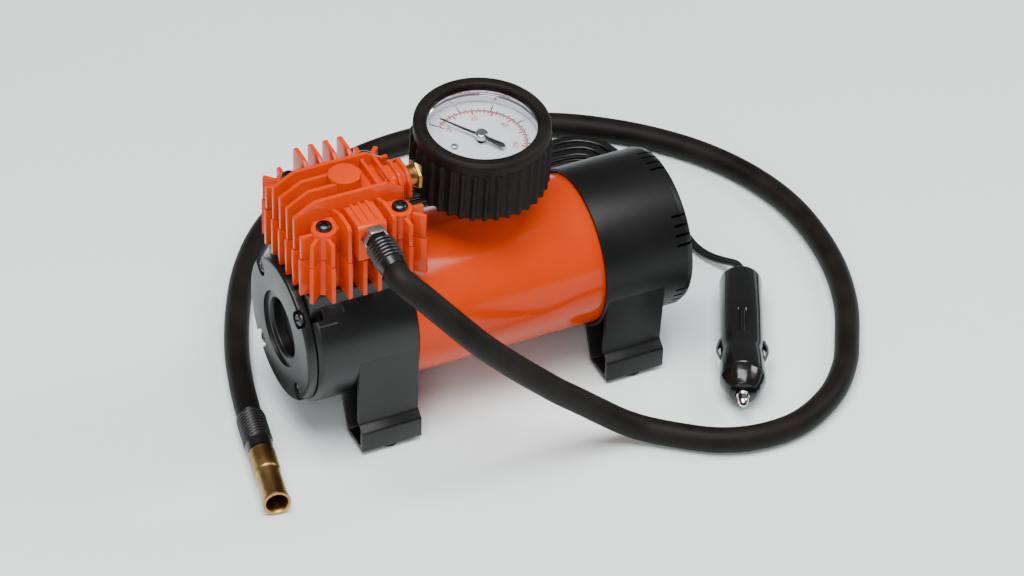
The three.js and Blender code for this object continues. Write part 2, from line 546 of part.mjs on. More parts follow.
// The pointer rests just past the stop pin, seven degrees beyond the dial's zero at 132 degrees.
const REST_ANGLE = 125;
const needle = () => {
  const outline = [[21, -0.35], [21, 0.35], [3, 0.8], [-9, 1.3], [-10, 0], [-9, -1.3], [3, -0.8]];
  const blade = prismZ(outline, 11.4, 12).rotate([0, 0, REST_ANGLE]);
  return join(blade, rod(3, 11, 13.4, 16), rod(1.2, 4.5, 12, 12));
};
add('gauge_needle', needle(), 'dark', gauge);
const bourdon = () => {
  const arc = Array.from({ length: 13 }, (_, i) => {
    const angle = THREE.MathUtils.degToRad(180 - i * 21);
    return [17 * Math.cos(angle), 17 * Math.sin(angle), -1];
  });
  return tube(arc, 2.4, 8, 20);
};
add('bourdon_tube', bourdon(), 'brass', gauge);

// ---- air hose ----
const hoseSleeve = (length) =>
  toSolid(turned([
    [0, 0], [6.3, 0], [6.75, 1], [6.75, length - 1], [6.2, length], [0, length],
  ], COARSE));
const hoseStart = [CYL.x, -37.6, HOSE.portZ];
const DROOP = 9;
add('hose_boot_head', hoseSleeve(16.4).rotate([90 + DROOP, 0, 0]).translate(hoseStart), 'rubber');
const HOSE_ROUTE = [
  [31.3, -54.3, 114.85], [31.3, -58.5, 114.2], [34, -62.5, 111.5], [38.8, -66, 106.8],
  [45.5, -68.5, 99], [53.5, -72.5, 90], [62, -74.5, 80], [72, -75, 69], [81.5, -75, 59],
  [91.5, -75, 49], [101, -74.5, 39.5], [111.5, -74, 30], [122, -74, 20.5],
  [132, -75.5, 12.5], [142, -79, 7.3], [155, -88, 5.8], [170, -98, 5.8], [187, -103, 5.8], [208, -102, 5.8],
  [230, -91, 5.8], [246, -75, 5.8], [256, -59, 5.8], [267, -38, 5.8], [275, -14, 5.8], [279, 11, 5.8],
  [279, 36, 5.8], [274, 60, 5.8], [264, 83, 5.8], [250, 103, 5.8], [232, 121, 5.8], [208, 138, 5.8],
  [180, 150, 5.8], [150, 156, 5.8], [118, 156, 5.8], [88, 149, 5.8], [62, 136, 5.8], [40, 118, 5.8],
  [22, 95, 5.8], [8, 69, 5.8], [-3, 43, 5.8], [-10, 20, 5.8], [-14.6, 0.5, 5.8],
];
add('air_hose', tube(HOSE_ROUTE, HOSE.r, HOSE.sides, 38), 'rubber');

// ---- valve chuck at the hose's free end ----
const chuckLine = new THREE.Group();
chuckLine.position.set(-14.7, 0.1, 6.8);
chuckLine.rotation.z = THREE.MathUtils.degToRad(-11);
machine.add(chuckLine);
const lieDown = (solid) => solid.rotate([90, 0, 0]);
add('hose_boot_chuck', lieDown(hoseSleeve(24.4).translate([0, 0, 0.6])), 'rubber', chuckLine);
const chuck = () =>
  toSolid(turned([
    [0, 0], [5, 0], [6.1, 0.8], [6.1, 14.5], [5.6, 15.5], [5.6, 24], [6.5, 33], [6.5, 34.5],
    [4.9, 34.5], [4.4, 33], [4.4, 19], [0, 19],
  ], COARSE)).translate([0, 0, 25.3]);
add('valve_chuck', lieDown(chuck()), 'brass', chuckLine);

// ---- supply cable ----
const grommet = join(rodY(3.6, 33.5, 41, 164, 44, 12), rodY(4.9, 36.9, 38.3, 164, 44, 12));
add('cable_grommet', grommet, 'rubber');
const LEAD_ROUTE = [
  [164, 41.35, 44], [164, 46, 44], [165, 54, 38], [169, 61, 22], [176, 65, 9], [185, 68.5, 4],
  [190, 75, 5], [190, 81.1, 5],
];
add('cable_lead', tube(LEAD_ROUTE, CABLE.r, CABLE.sides, 14), 'black');
const HANK = { x0: 72, x1: 222, y0: 81.5, y1: 127, wide: 15, z0: 0.2, z1: 14 };
const hank = () => {
  const oval = (inset) => {
    const r = (HANK.y1 - HANK.y0) / 2 - inset;
    const yc = (HANK.y0 + HANK.y1) / 2;
    const ends = [[HANK.x1 - inset - r, -QUARTER], [HANK.x0 + inset + r, QUARTER]];
    return ends.flatMap(([cx, from]) =>
      Array.from({ length: 11 }, (_, i) => {
        const angle = from + (i * Math.PI) / 10;
        return [cx + r * Math.cos(angle), yc + r * Math.sin(angle)];
      }));
  };
  return cut(prismZ(oval(0), HANK.z0, HANK.z1), prismZ(oval(HANK.wide), -1, HANK.z1 + 1));
};
add('cable_hank', hank(), 'black');
const TAIL_ROUTE = [
  [219.9, 92.4, 2.8], [224, 88.5, 2.6], [227, 77, 2.6], [227, 60, 2.6], [225, 44, 2.6],
  [225, 30, 2.8], [229, 18, 4.2], [232.5, 8, 8], [231.6, 0.3, 10.2], [228.4, -6.3, 10.5],
];
add('cable_tail', tube(TAIL_ROUTE, CABLE.r, CABLE.sides, 18), 'black');

// ---- accessory plug ----
const plug = new THREE.Group();
plug.position.set(PLUG.rearX, PLUG.rearY, PLUG.z);
plug.rotation.z = THREE.MathUtils.degToRad(PLUG.turn);
machine.add(plug);
const SIDES = [1, -1];
const plugBody = () => {
  const barrel = toSolid(turned([
    [0, 0], [8, 0], [PLUG.r - 0.5, 1.9], [PLUG.r - 0.5, 56], [PLUG.r, 58],
    [PLUG.r, 70.5], [7.2, 70.5], [7.2, 62], [3.6, 62], [3.6, 52], [0, 52],
  ]));
  const slots = SIDES.map((s) =>
    box(s < 0 ? -12 : 6.6, s < 0 ? -6.6 : 12, -2.6, 2.6, 44, 61.6),
  );
  return cut(barrel, slots);
};
add('plug_body', lieDown(plugBody()), 'black', plug);
const plugNose = toSolid(turned([
  [4.5, 62.4], [6.8, 62.4], [6.8, 70.8], [PLUG.r, 71.1], [9.2, 75], [6.2, 80.5], [3.4, 81.5],
  [3.4, 79.5], [4.5, 79.5], [4.5, 62.4],
]));
add('plug_nose', lieDown(plugNose), 'black', plug);
// The flange is held behind the nose's lip and keeps clear of the plug body at full press.
const plugTip = toSolid(turned([
  [0, 74.9], [3, 74.9], [3, 76.4], [4.1, 76.4], [4.1, 79.2], [3, 79.2], [3, 84], [2, 88], [0, 89],
], 12));
add('plug_tip', lieDown(plugTip), 'chrome', plug);
const clip = (s) => {
  const outline = [
    [8.9, 45], [10.6, 46], [12, 51], [12, 55], [10.6, 60], [9.4, 61.2], [9, 60], [11, 54.5],
    [11, 51.5], [9.8, 47], [8.9, 46.4],
  ];
  return prismY(s > 0 ? outline : outline.map(([x, z]) => [-x, z]), -2.2, 2.2);
};
add('plug_clip_right', lieDown(clip(1)), 'steel', plug);
add('plug_clip_left', lieDown(clip(-1)), 'steel', plug);

export default model;
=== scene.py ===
import json
import math

import bmesh
import bpy
from mathutils import Matrix, Vector


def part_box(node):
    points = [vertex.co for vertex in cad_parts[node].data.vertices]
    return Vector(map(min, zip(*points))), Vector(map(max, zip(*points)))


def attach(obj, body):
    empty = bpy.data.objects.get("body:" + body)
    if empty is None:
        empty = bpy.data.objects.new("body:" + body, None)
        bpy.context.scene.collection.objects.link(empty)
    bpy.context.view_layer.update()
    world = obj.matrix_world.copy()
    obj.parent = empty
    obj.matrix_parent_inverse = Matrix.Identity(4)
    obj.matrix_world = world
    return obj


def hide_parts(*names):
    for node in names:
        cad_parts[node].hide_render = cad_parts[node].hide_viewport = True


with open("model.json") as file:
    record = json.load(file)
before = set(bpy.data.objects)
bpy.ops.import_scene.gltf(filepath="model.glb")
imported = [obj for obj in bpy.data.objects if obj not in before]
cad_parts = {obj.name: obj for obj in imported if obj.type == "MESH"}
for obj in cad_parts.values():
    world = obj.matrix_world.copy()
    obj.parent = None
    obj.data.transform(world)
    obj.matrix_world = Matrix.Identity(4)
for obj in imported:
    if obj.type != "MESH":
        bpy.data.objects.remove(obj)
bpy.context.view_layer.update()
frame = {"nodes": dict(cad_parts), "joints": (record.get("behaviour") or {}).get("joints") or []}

# A portable tyre inflator. Pieces are built in millimetres in the row frame and placed in metres.
# +X runs from the crankcase cover to the rear cap, -Y is the hose side, +Z is up.

MM = 0.001
JOINTS = {joint["name"]: joint for joint in frame["joints"]}


def span(node):
    """Lowest and highest corner of a CAD node, in millimetres."""
    low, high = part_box(node)
    return Vector(low) / MM, Vector(high) / MM


CAN_LOW, CAN_HIGH = span("motor_can")
CASE_LOW, CASE_HIGH = span("crankcase")
COVER_LOW, COVER_HIGH = span("crankcase_cover")
CAP_LOW, CAP_HIGH = span("rear_cap")
HEAD_LOW = span("cylinder_head")[0]
CYL_HIGH = span("cylinder")[1]
AXIS_Z = JOINTS["shaft_spin"]["pos_m"][2] / MM
FACE_X = COVER_LOW.x
BORE_X = JOINTS["rod_swing"]["pos_m"][0] / MM
GAUGE_CENTRE = Vector(JOINTS["needle_sweep"]["pos_m"]) / MM
CHUCK_START = Vector(JOINTS["chuck_spin"]["pos_m"]) / MM
PLUG_REAR = Vector(JOINTS["nose_turn"]["pos_m"]) / MM
GAUGE_TILT = 4.5
CHUCK_TURN = -11
PLUG_TURN = -26.9


# ---- places ----
def shift(x=0, y=0, z=0):
    return Matrix.Translation((x, y, z))


def spin(degrees, axis):
    return Matrix.Rotation(math.radians(degrees), 4, axis)


# Local Z along world X, with local X along world Y and local Y along world Z.
ALONG_X = Matrix(((0, 0, 1, 0), (1, 0, 0, 0), (0, 1, 0, 0), (0, 0, 0, 1)))
# Local Z along world Y, with local X along world X and local Y along world Z.
ALONG_Y = Matrix(((1, 0, 0, 0), (0, 0, 1, 0), (0, 1, 0, 0), (0, 0, 0, 1)))
UPRIGHT = Matrix.Identity(4)
ON_AXIS = shift(0, 0, AXIS_Z) @ ALONG_X
ON_BORE = shift(BORE_X)
GAUGE_AT = Matrix.Translation(GAUGE_CENTRE) @ spin(GAUGE_TILT, "X")
CHUCK_AT = Matrix.Translation(CHUCK_START) @ spin(CHUCK_TURN, "Z") @ spin(90, "X")
PLUG_AT = Matrix.Translation(PLUG_REAR) @ spin(PLUG_TURN, "Z") @ spin(90, "X")


# ---- outlines ----
def polar(radius, degrees):
    angle = math.radians(degrees)
    return (radius * math.cos(angle), radius * math.sin(angle))


def rounded(points, radius, steps=3, closed=True):
    """The outline with its corners rounded by arcs of about that radius."""
    result = []
    count = len(points)
    for i, point in enumerate(points):
        if not closed and i in (0, count - 1):
            result.append(tuple(point))
            continue
        here = Vector(point)
        before = Vector(points[i - 1]) - here
        after = Vector(points[(i + 1) % count]) - here
        reach = min(radius, 0.45 * before.length, 0.45 * after.length)
        start = here + before.normalized() * reach
        end = here + after.normalized() * reach
        for k in range(steps + 1):
            t = k / steps
            result.append(tuple(start * (1 - t) ** 2 + here * 2 * t * (1 - t) + end * t * t))
    return result


def inset(points, distance):
    """The closed outline moved inward by that distance."""
    count = len(points)
    area = sum(
        points[i - 1][0] * points[i][1] - points[i][0] * points[i - 1][1] for i in range(count)
    )
    turn = 1 if area > 0 else -1
    result = []
    for i, point in enumerate(points):
        here = Vector(point)
        first = (here - Vector(points[i - 1])).normalized()
        second = (Vector(points[(i + 1) % count]) - here).normalized()
        normals = [Vector((-d.y, d.x)) * turn for d in (first, second)]
        miter = (normals[0] + normals[1]) / max(1 + normals[0].dot(normals[1]), 0.35)
        result.append(tuple(here + miter * distance))
    return result


# ---- solids ----
class Solid:
    """Closed shells in millimetres, gathered into one mesh."""

    def __init__(self):
        self.bm = bmesh.new()

    def loft(self, rings, at=UPRIGHT, loop=False):
        rows = [[self.bm.verts.new(at @ Vector(p)) for p in ring] for ring in rings]
        count = len(rows[0])
        last = len(rows) if loop else len(rows) - 1
        for i in range(last):
            low, high = rows[i], rows[(i + 1) % len(rows)]
            for k in range(count):
                n = (k + 1) % count
                self.bm.faces.new((low[k], low[n], high[n], high[k]))
        if not loop:
            self.bm.faces.new(rows[0])
            self.bm.faces.new(rows[-1])
        return self

    def lathe(self, profile, at=UPRIGHT, sides=96, loop=False, swell=None):
        """Turns [radius, height] pairs round Z. swell(degrees, height) adds to the radius."""
        rings = []
        for radius, height in profile:
            ring = []
            for k in range(sides):
                degrees = 360 * k / sides
                extra = swell(degrees, height) if swell else 0
                ring.append((*polar(radius + extra, degrees), height))
            rings.append(ring)
        return self.loft(rings, at, loop)

    def prism(self, outline, start, end, at=UPRIGHT, edge=0.4):
        """An outline pushed along Z, with its end edges rounded."""
        levels = [(edge, start), (edge * 0.3, start + edge * 0.3), (0, start + edge)]
        levels += [(0, end - edge), (edge * 0.3, end - edge * 0.3), (edge, end)]
        rings = [[(x, y, h) for x, y in inset(outline, d)] for d, h in levels]
        return self.loft(rings, at)

    def block(self, x0, x1, y0, y1, z0, z1, at=UPRIGHT, edge=0.4):
        outline = rounded([(x0, y0), (x1, y0), (x1, y1), (x0, y1)], edge, 2)
        return self.prism(outline, z0, z1, at, edge)

    def mesh(self, name):
        bmesh.ops.recalc_face_normals(self.bm, faces=self.bm.faces)
        self.bm.transform(Matrix.Scale(MM, 4))
        mesh = bpy.data.meshes.new(name)
        self.bm.to_mesh(mesh)
        self.bm.free()
        return mesh


def bare(name, solid):
    piece = bpy.data.objects.new(name, solid.mesh(name))
    bpy.context.scene.collection.objects.link(piece)
    return piece


def carve(piece, solid):
    """Cuts a solid out of a piece."""
    tool = bare("tool", solid)
    cut = piece.modifiers.new("cut", "BOOLEAN")
    cut.operation = "DIFFERENCE"
    cut.solver = "EXACT"
    cut.object = tool
    graph = bpy.context.evaluated_depsgraph_get()
    shaped = bpy.data.meshes.new_from_object(piece.evaluated_get(graph))
    piece.modifiers.clear()
    piece.data = shaped
    bpy.data.objects.remove(tool)


def finish(piece, body, material, nodes=(), sharp=32):
    """Shades, paints and places a piece, and hides the CAD nodes it stands for."""
    piece.data.shade_smooth()
    piece.data.set_sharp_from_angle(angle=math.radians(sharp))
    piece.data.materials.clear()
    piece.data.materials.append(material)
    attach(piece, body)
    if nodes:
        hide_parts(*nodes)
    return piece


def add(name, solid, body, material, nodes=(), sharp=32):
    return finish(bare(name, solid), body, material, nodes, sharp)


# ---- materials ----
def new_material(name):
    material = bpy.data.materials.new(name)
    material.use_nodes = True
    tree = material.node_tree
    return material, tree, tree.nodes["Principled BSDF"]


def surface(
    name, dark, light, rough=(0.3, 0.4), grain=400.0, bump=0.05, depth=0.0002, patch=25.0,
    stretch=(1, 1, 1), **fixed,
):
    """A surface whose colour and gloss drift in patches and whose grain is a fine bump."""
    material, tree, shader = new_material(name)
    place = tree.nodes.new("ShaderNodeTexCoord")
    mapping = tree.nodes.new("ShaderNodeMapping")
    mapping.inputs["Scale"].default_value = stretch
    tree.links.new(place.outputs["Object"], mapping.inputs["Vector"])
    drift = tree.nodes.new("ShaderNodeTexNoise")
    drift.inputs["Scale"].default_value = patch
    drift.inputs["Detail"].default_value = 5
    tree.links.new(mapping.outputs["Vector"], drift.inputs["Vector"])
    ramp = tree.nodes.new("ShaderNodeValToRGB")
    ramp.color_ramp.elements[0].position = 0.3
    ramp.color_ramp.elements[0].color = (*dark, 1)
    ramp.color_ramp.elements[1].position = 0.7
    ramp.color_ramp.elements[1].color = (*light, 1)
    tree.links.new(drift.outputs["Fac"], ramp.inputs["Fac"])
    tree.links.new(ramp.outputs["Color"], shader.inputs["Base Color"])
    gloss = tree.nodes.new("ShaderNodeMapRange")
    gloss.inputs["To Min"].default_value = rough[0]
    gloss.inputs["To Max"].default_value = rough[1]
    tree.links.new(drift.outputs["Fac"], gloss.inputs["Value"])
    tree.links.new(gloss.outputs["Result"], shader.inputs["Roughness"])
    fine = tree.nodes.new("ShaderNodeTexNoise")
    fine.inputs["Scale"].default_value = grain
    fine.inputs["Detail"].default_value = 4
    tree.links.new(mapping.outputs["Vector"], fine.inputs["Vector"])
    relief = tree.nodes.new("ShaderNodeBump")
    relief.inputs["Strength"].default_value = bump
    relief.inputs["Distance"].default_value = depth
    tree.links.new(fine.outputs["Fac"], relief.inputs["Height"])
    tree.links.new(relief.outputs["Normal"], shader.inputs["Normal"])
    for socket, value in fixed.items():
        shader.inputs[socket.replace("_", " ")].default_value = value
    return material


ORANGE = surface(
    "orange_paint", (0.54, 0.036, 0.0003), (0.60, 0.044, 0.0006), (0.12, 0.20), 260, 0.08, 0.0003,
    Specular_IOR_Level=0.2,
)
SATIN_BLACK = surface(
    "satin_black_plastic", (0.0035, 0.0033, 0.0035), (0.006, 0.0056, 0.0056), (0.32, 0.42), 2600,
    0.28, 0.0002, Specular_IOR_Level=0.22,
)
CASE_BLACK = surface(
    "cast_black_paint", (0.0035, 0.0032, 0.0033), (0.007, 0.0062, 0.0062), (0.26, 0.40), 1500,
    0.22, 0.0002, Specular_IOR_Level=0.38,
)
GLOSS_BLACK = surface(
    "gloss_black_plastic", (0.003, 0.003, 0.003), (0.006, 0.006, 0.006), (0.10, 0.22), 700, 0.05,
    0.0002, Specular_IOR_Level=0.5,
)
RUBBER = surface(
    "black_rubber", (0.0045, 0.0035, 0.0032), (0.012, 0.0095, 0.0082), (0.42, 0.62), 1800, 0.35,
    0.0002, patch=60, Specular_IOR_Level=0.11,
)
BOOT_BLACK = surface(
    "boot_pvc", (0.0035, 0.0033, 0.0033), (0.007, 0.0065, 0.0063), (0.20, 0.34), 1200, 0.08, 0.0002,
    Specular_IOR_Level=0.5,
)
CABLE_SKIN = surface(
    "cable_pvc", (0.004, 0.004, 0.004), (0.008, 0.008, 0.008), (0.26, 0.38), 1200, 0.10, 0.0002,
    Specular_IOR_Level=0.35,
)
BRASS = surface(
    "turned_brass", (0.30, 0.16, 0.05), (0.50, 0.31, 0.11), (0.24, 0.42), 900, 0.12, 0.0002,
    patch=120, Metallic=1.0,
)
ZINC = surface(
    "zinc_plate", (0.48, 0.48, 0.49), (0.66, 0.66, 0.67), (0.20, 0.34), 900, 0.10, 0.0002,
    patch=90, Metallic=1.0,
)
CHROME = surface(
    "bright_chrome", (0.62, 0.63, 0.65), (0.76, 0.77, 0.79), (0.06, 0.14), 400, 0.03, 0.0002,
    Metallic=1.0,
)
DARK_STEEL = surface(
    "black_oxide_steel", (0.025, 0.025, 0.028), (0.055, 0.055, 0.06), (0.16, 0.28), 900, 0.10, 0.0002,
    patch=200, Metallic=0.8,
)
STEEL = surface(
    "machined_steel", (0.40, 0.40, 0.42), (0.58, 0.58, 0.60), (0.24, 0.38), 300, 0.12, 0.0002,
    stretch=(1, 8, 8), Metallic=1.0,
)
ALLOY = surface(
    "cast_alloy", (0.42, 0.42, 0.43), (0.60, 0.60, 0.62), (0.36, 0.52), 1200, 0.30, 0.0003, Metallic=1.0,
)
COPPER = surface(
    "enamelled_copper", (0.30, 0.09, 0.03), (0.52, 0.19, 0.07), (0.24, 0.40), 700, 0.40, 0.0004,
    stretch=(1, 6, 6), Metallic=0.9,
)
FERRITE = surface(
    "ferrite", (0.020, 0.020, 0.022), (0.040, 0.040, 0.043), (0.60, 0.75), 1500, 0.4, 0.0003,
)
CARBON = surface(
    "pressed_carbon", (0.012, 0.012, 0.012), (0.030, 0.030, 0.030), (0.55, 0.75), 1800, 0.4, 0.0002,
)
DIAL_WHITE = surface(
    "dial_white", (0.60, 0.61, 0.66), (0.66, 0.67, 0.72), (0.30, 0.40), 900, 0.03, 0.0001,
)
PRINT_BLACK = surface(
    "print_black", (0.006, 0.006, 0.006), (0.012, 0.012, 0.012), (0.40, 0.50), 900, 0.05, 0.0001,
)
PRINT_RED = surface(
    "print_red", (0.42, 0.004, 0.012), (0.52, 0.008, 0.016), (0.40, 0.50), 900, 0.05, 0.0001,
)
LENS = surface(
    "clear_lens", (0.97, 0.98, 0.98), (1.0, 1.0, 1.0), (0.0, 0.015), 300, 0.01, 0.0001,
    Transmission_Weight=1.0, IOR=1.12,
)
FLOOR = surface(
    "pale_floor", (0.80, 0.88, 0.87), (0.83, 0.91, 0.90), (0.75, 0.85), 200, 0.02, 0.0002, patch=3,
)


# ---- camera ----
LENS_MM = 150
AZIMUTH = -26.44
ELEVATION = 39.26
ROLL = 1.77
DISTANCE = 1906.83
AIM_RIGHT = 103.56
AIM_UP = 58.25


def make_camera():
    azimuth, elevation, roll = (math.radians(a) for a in (AZIMUTH, ELEVATION, ROLL))
    back = Vector((
        math.sin(azimuth) * math.cos(elevation), -math.cos(azimuth) * math.cos(elevation),
        math.sin(elevation),
    ))
    level = Vector((math.cos(azimuth), math.sin(azimuth), 0))
    rise = back.cross(level)
    right = level * math.cos(roll) + rise * math.sin(roll)
    up = rise * math.cos(roll) - level * math.sin(roll)
    place = right * AIM_RIGHT + up * AIM_UP + back * DISTANCE + Vector((FACE_X, 0, 0))
    camera = bpy.data.objects.new("camera", bpy.data.cameras.new("camera"))
    camera.data.lens = LENS_MM
    camera.data.clip_end = 20
    turn = Matrix((right, up, back)).transposed().to_4x4()
    camera.matrix_world = Matrix.Translation(place * MM) @ turn
    bpy.context.scene.collection.objects.link(camera)
    bpy.context.scene.camera = camera


make_camera()


# ---- cords ----
def smooth_route(points, per_span):
    """A centripetal Catmull-Rom curve through the points, as three.js draws it."""
    dots = [Vector(p) for p in points]
    dots = [dots[0] * 2 - dots[1], *dots, dots[-1] * 2 - dots[-2]]
    route = []
    for i in range(1, len(dots) - 2):
        a, b, c, d = dots[i - 1:i + 3]
        t1 = max((b - a).length, 1e-4) ** 0.5
        t2 = t1 + max((c - b).length, 1e-4) ** 0.5
        t3 = t2 + max((d - c).length, 1e-4) ** 0.5
        for k in range(per_span):
            t = t1 + (t2 - t1) * k / per_span
            ab = a * (t1 - t) / t1 + b * t / t1
            bc = b * (t2 - t) / (t2 - t1) + c * (t - t1) / (t2 - t1)
            cd = c * (t3 - t) / (t3 - t2) + d * (t - t2) / (t3 - t2)
            abc = ab * (t2 - t) / t2 + bc * t / t2
            bcd = bc * (t3 - t) / (t3 - t1) + cd * (t - t1) / (t3 - t1)
            route.append(abc * (t2 - t) / (t2 - t1) + bcd * (t - t1) / (t2 - t1))
    return [*route, dots[-2]]


def length_of(route):
    return sum((b - a).length for a, b in zip(route, route[1:])) * MM


def sweep(route, section):
    """Carries a section of (sideways, upward) points along a route, kept level."""
    solid = Solid()
    rings = []
    side = None
    for i, here in enumerate(route):
        ahead = route[min(i + 1, len(route) - 1)] - route[max(i - 1, 0)]
        ahead.normalize()
        flat = ahead.cross(Vector((0, 0, 1)))
        wish = flat.normalized() if flat.length > 0.25 else (side - ahead * side.dot(ahead)).normalized()
        side = wish if side is None else (side * 0.6 + wish * 0.4)
        side = (side - ahead * side.dot(ahead)).normalized()
        over = side.cross(ahead)
        rings.append([tuple(here + side * u + over * v) for u, v in section])
    return solid.loft(rings)


# Both routes are in millimetres from the crankcase cover's face.
HOSE_ROUTE = [
    (31.3, -54.3, 114.85), (31.3, -58.5, 114.2), (34, -62.5, 111.5), (38.8, -66, 106.8),
    (45.5, -68.5, 99), (53.5, -72.5, 90), (62, -74.5, 80), (72, -75, 69), (81.5, -75, 59),
    (91.5, -75, 49), (101, -74.5, 39.5), (111.5, -74, 30), (122, -74, 20.5),
    (132, -75.5, 12.5), (142, -79, 7.3), (155, -88, 5.8), (170, -98, 5.8), (187, -103, 5.8),
    (208, -102, 5.8), (230, -91, 5.8), (246, -75, 5.8), (256, -59, 5.8), (267, -38, 5.8),
    (275, -14, 5.8), (279, 11, 5.8), (279, 36, 5.8), (274, 60, 5.8), (264, 83, 5.8),
    (250, 103, 5.8), (232, 121, 5.8), (208, 138, 5.8), (180, 150, 5.8), (150, 156, 5.8),
    (118, 156, 5.8), (88, 149, 5.8), (62, 136, 5.8), (40, 118, 5.8), (22, 95, 5.8), (8, 69, 5.8),
    (-3, 43, 5.8), (-10, 20, 5.8), (-14.6, 0.5, 5.8),
]
LEAD_ROUTE = [
    (164, 41.35, 44), (164, 46, 44), (165, 54, 38), (169, 61, 22), (176, 65, 9), (185, 68.5, 4),
    (194, 76, 3.2),
]
TAIL_ROUTE = [
    (224, 88.5, 2.6), (227, 77, 2.6), (227, 60, 2.6), (225, 44, 2.6), (225, 30, 2.8),
    (229, 18, 4.2), (232.5, 8, 8), (231.6, 0.3, 10.2), (228.4, -6.3, 10.5),
]
HOSE_ACROSS = 11.5
CABLE_WIDE = 4.6
CABLE_THICK = 2.5
from_face = [Vector((FACE_X, 0, 0)) + Vector(p) for p in HOSE_ROUTE]
hose_line = smooth_route(from_face, 6)


def twin_section():
    """Two round cores side by side with a web between them."""
    core = CABLE_THICK / 2
    reach = CABLE_WIDE / 2 - core
    right = [(reach + x, y) for x, y in (polar(core, a) for a in range(-120, 121, 30))]
    left = [(-x, -y) for x, y in right]
    return [*right, *left]


HANK_LOW, HANK_HIGH = span("cable_hank")
HANK_COLUMNS = 3
HANK_ROWS = 3
POINTS_PER_TURN = 48


def hank_route():
    """A racetrack of three rows of three turns, wound out and back, from the top outer turn down."""
    width = 15
    pitch = (width - CABLE_WIDE) / (HANK_COLUMNS - 1)
    rise = (HANK_HIGH.z - HANK_LOW.z - CABLE_THICK) / (HANK_ROWS - 1) * 0.55
    middle_y = (HANK_LOW.y + HANK_HIGH.y) / 2
    outer = (HANK_HIGH.y - HANK_LOW.y) / 2 - CABLE_WIDE / 2
    half = (HANK_HIGH.x - HANK_LOW.x) / 2 - (HANK_HIGH.y - HANK_LOW.y) / 2
    middle_x = (HANK_LOW.x + HANK_HIGH.x) / 2
    cells = []
    for row in range(HANK_ROWS):
        columns = range(HANK_COLUMNS)
        cells += [(c, row) for c in (columns if row % 2 == 0 else reversed(columns))]
    route = []
    for turn, (column, row) in enumerate(cells):
        following = cells[min(turn + 1, len(cells) - 1)]
        for k in range(POINTS_PER_TURN):
            share = k / POINTS_PER_TURN
            late = max(0.0, (share - 0.7) / 0.3)
            ease = late * late * (3 - 2 * late)
            column_now = column + (following[0] - column) * ease
            row_now = row + (following[1] - row) * ease
            radius = outer - pitch * column_now
            height = HANK_LOW.z + CABLE_THICK / 2 + rise * row_now
            x, y = racetrack(share, half, radius)
            route.append(Vector((middle_x + x, middle_y + y, height)))
    return route


def racetrack(share, half, radius):
    """A point on two straights joined by half circles, anticlockwise from the near straight's end."""
    straight = 2 * half
    bend = math.pi * radius
    way = share * 2 * (straight + bend)
    if way < bend:
        return half + radius * math.sin(way / radius), -radius * math.cos(way / radius)
    way -= bend
    if way < straight:
        return half - way, radius
    way -= straight
    if way < bend:
        return -half - radius * math.sin(way / radius), radius * math.cos(way / radius)
    return -half + (way - bend), -radius


def make_cords():
    hose = bpy.data.curves.new("air_hose_rubber", "CURVE")
    hose.dimensions = "3D"
    hose.bevel_depth = HOSE_ACROSS / 2 * MM
    hose.bevel_resolution = 8
    hose.use_fill_caps = True
    spline = hose.splines.new("POLY")
    spline.points.add(len(hose_line) - 1)
    for point, dot in zip(hose_line, spline.points):
        dot.co = (*(point * MM), 1)
    hose.materials.append(RUBBER)
    for dot in spline.points:
        dot.radius = 1
    spline.use_smooth = True
    tube = bpy.data.objects.new("air_hose_rubber", hose)
    bpy.context.scene.collection.objects.link(tube)
    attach(tube, "machine")
    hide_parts("air_hose")

    lead = smooth_route([Vector((FACE_X, 0, 0)) + Vector(p) for p in LEAD_ROUTE], 5)
    tail = smooth_route([Vector((FACE_X, 0, 0)) + Vector(p) for p in TAIL_ROUTE], 5)
    turns = hank_route()
    line = smooth_route([*lead[::3], *turns[::2], *tail[::3], tail[-1]], 2)
    cable = add(
        "twin_cable", sweep(line, twin_section()), "machine", CABLE_SKIN,
        ("cable_lead", "cable_hank", "cable_tail"), sharp=60,
    )
    return tube, cable, line


hose_piece, cable_piece, cable_line = make_cords()


# ---- motor, crankcase and rear cap ----
def motor():
    x0, x1 = CAN_LOW.x, CAN_HIGH.x
    r = (CAN_HIGH.y - CAN_LOW.y) / 2
    profile = rounded([(r - 2.2, x0), (r, x0), (r, x1), (r - 2.2, x1)], 0.4)
    add("motor_tube", Solid().lathe(profile, ON_AXIS, 144, loop=True), "machine",
        ORANGE, ("motor_can",))


LEG_KINK = (34.2, 15.4)
LEG_LIP = 38.4
SOLE = 2.0
LEG_WALL = 2.4


LEG_ROOT_R = 31.5  # inside the casting's wall, clear of the crank chamber


def leg(solid, x0, x1, top, side):
    """A folded bracket: a channel open towards -X, closed by a plate at its +X end."""
    outer = [
        (top, AXIS_Z), LEG_KINK, (LEG_LIP, 12.4), (LEG_LIP, SOLE), (21.8, SOLE), (15.2, 17),
        (13.5, 24),
    ]
    t = LEG_WALL
    inner = [
        (15.9, 24), (17.6, 17), (23.3, SOLE + t), (LEG_LIP - t, SOLE + t),
        (LEG_LIP - t, 13.4), (LEG_KINK[0] - t, LEG_KINK[1] + 1), (top - t, AXIS_Z),
    ]
    channel = rounded([(side * y, z) for y, z in outer + inner], 0.9, 3)
    solid.prism(channel, x0, x1, ALONG_X, 0.35)
    root = [polar(LEG_ROOT_R, a) for a in range(-60, 1, 12)]
    web = outer + [(y, AXIS_Z + z) for y, z in root]
    plate = rounded([(side * y, z) for y, z in inset(web, 0.2)], 0.9, 3)
    solid.prism(plate, x1 - t, x1 - 0.05, ALONG_X, 0.3)


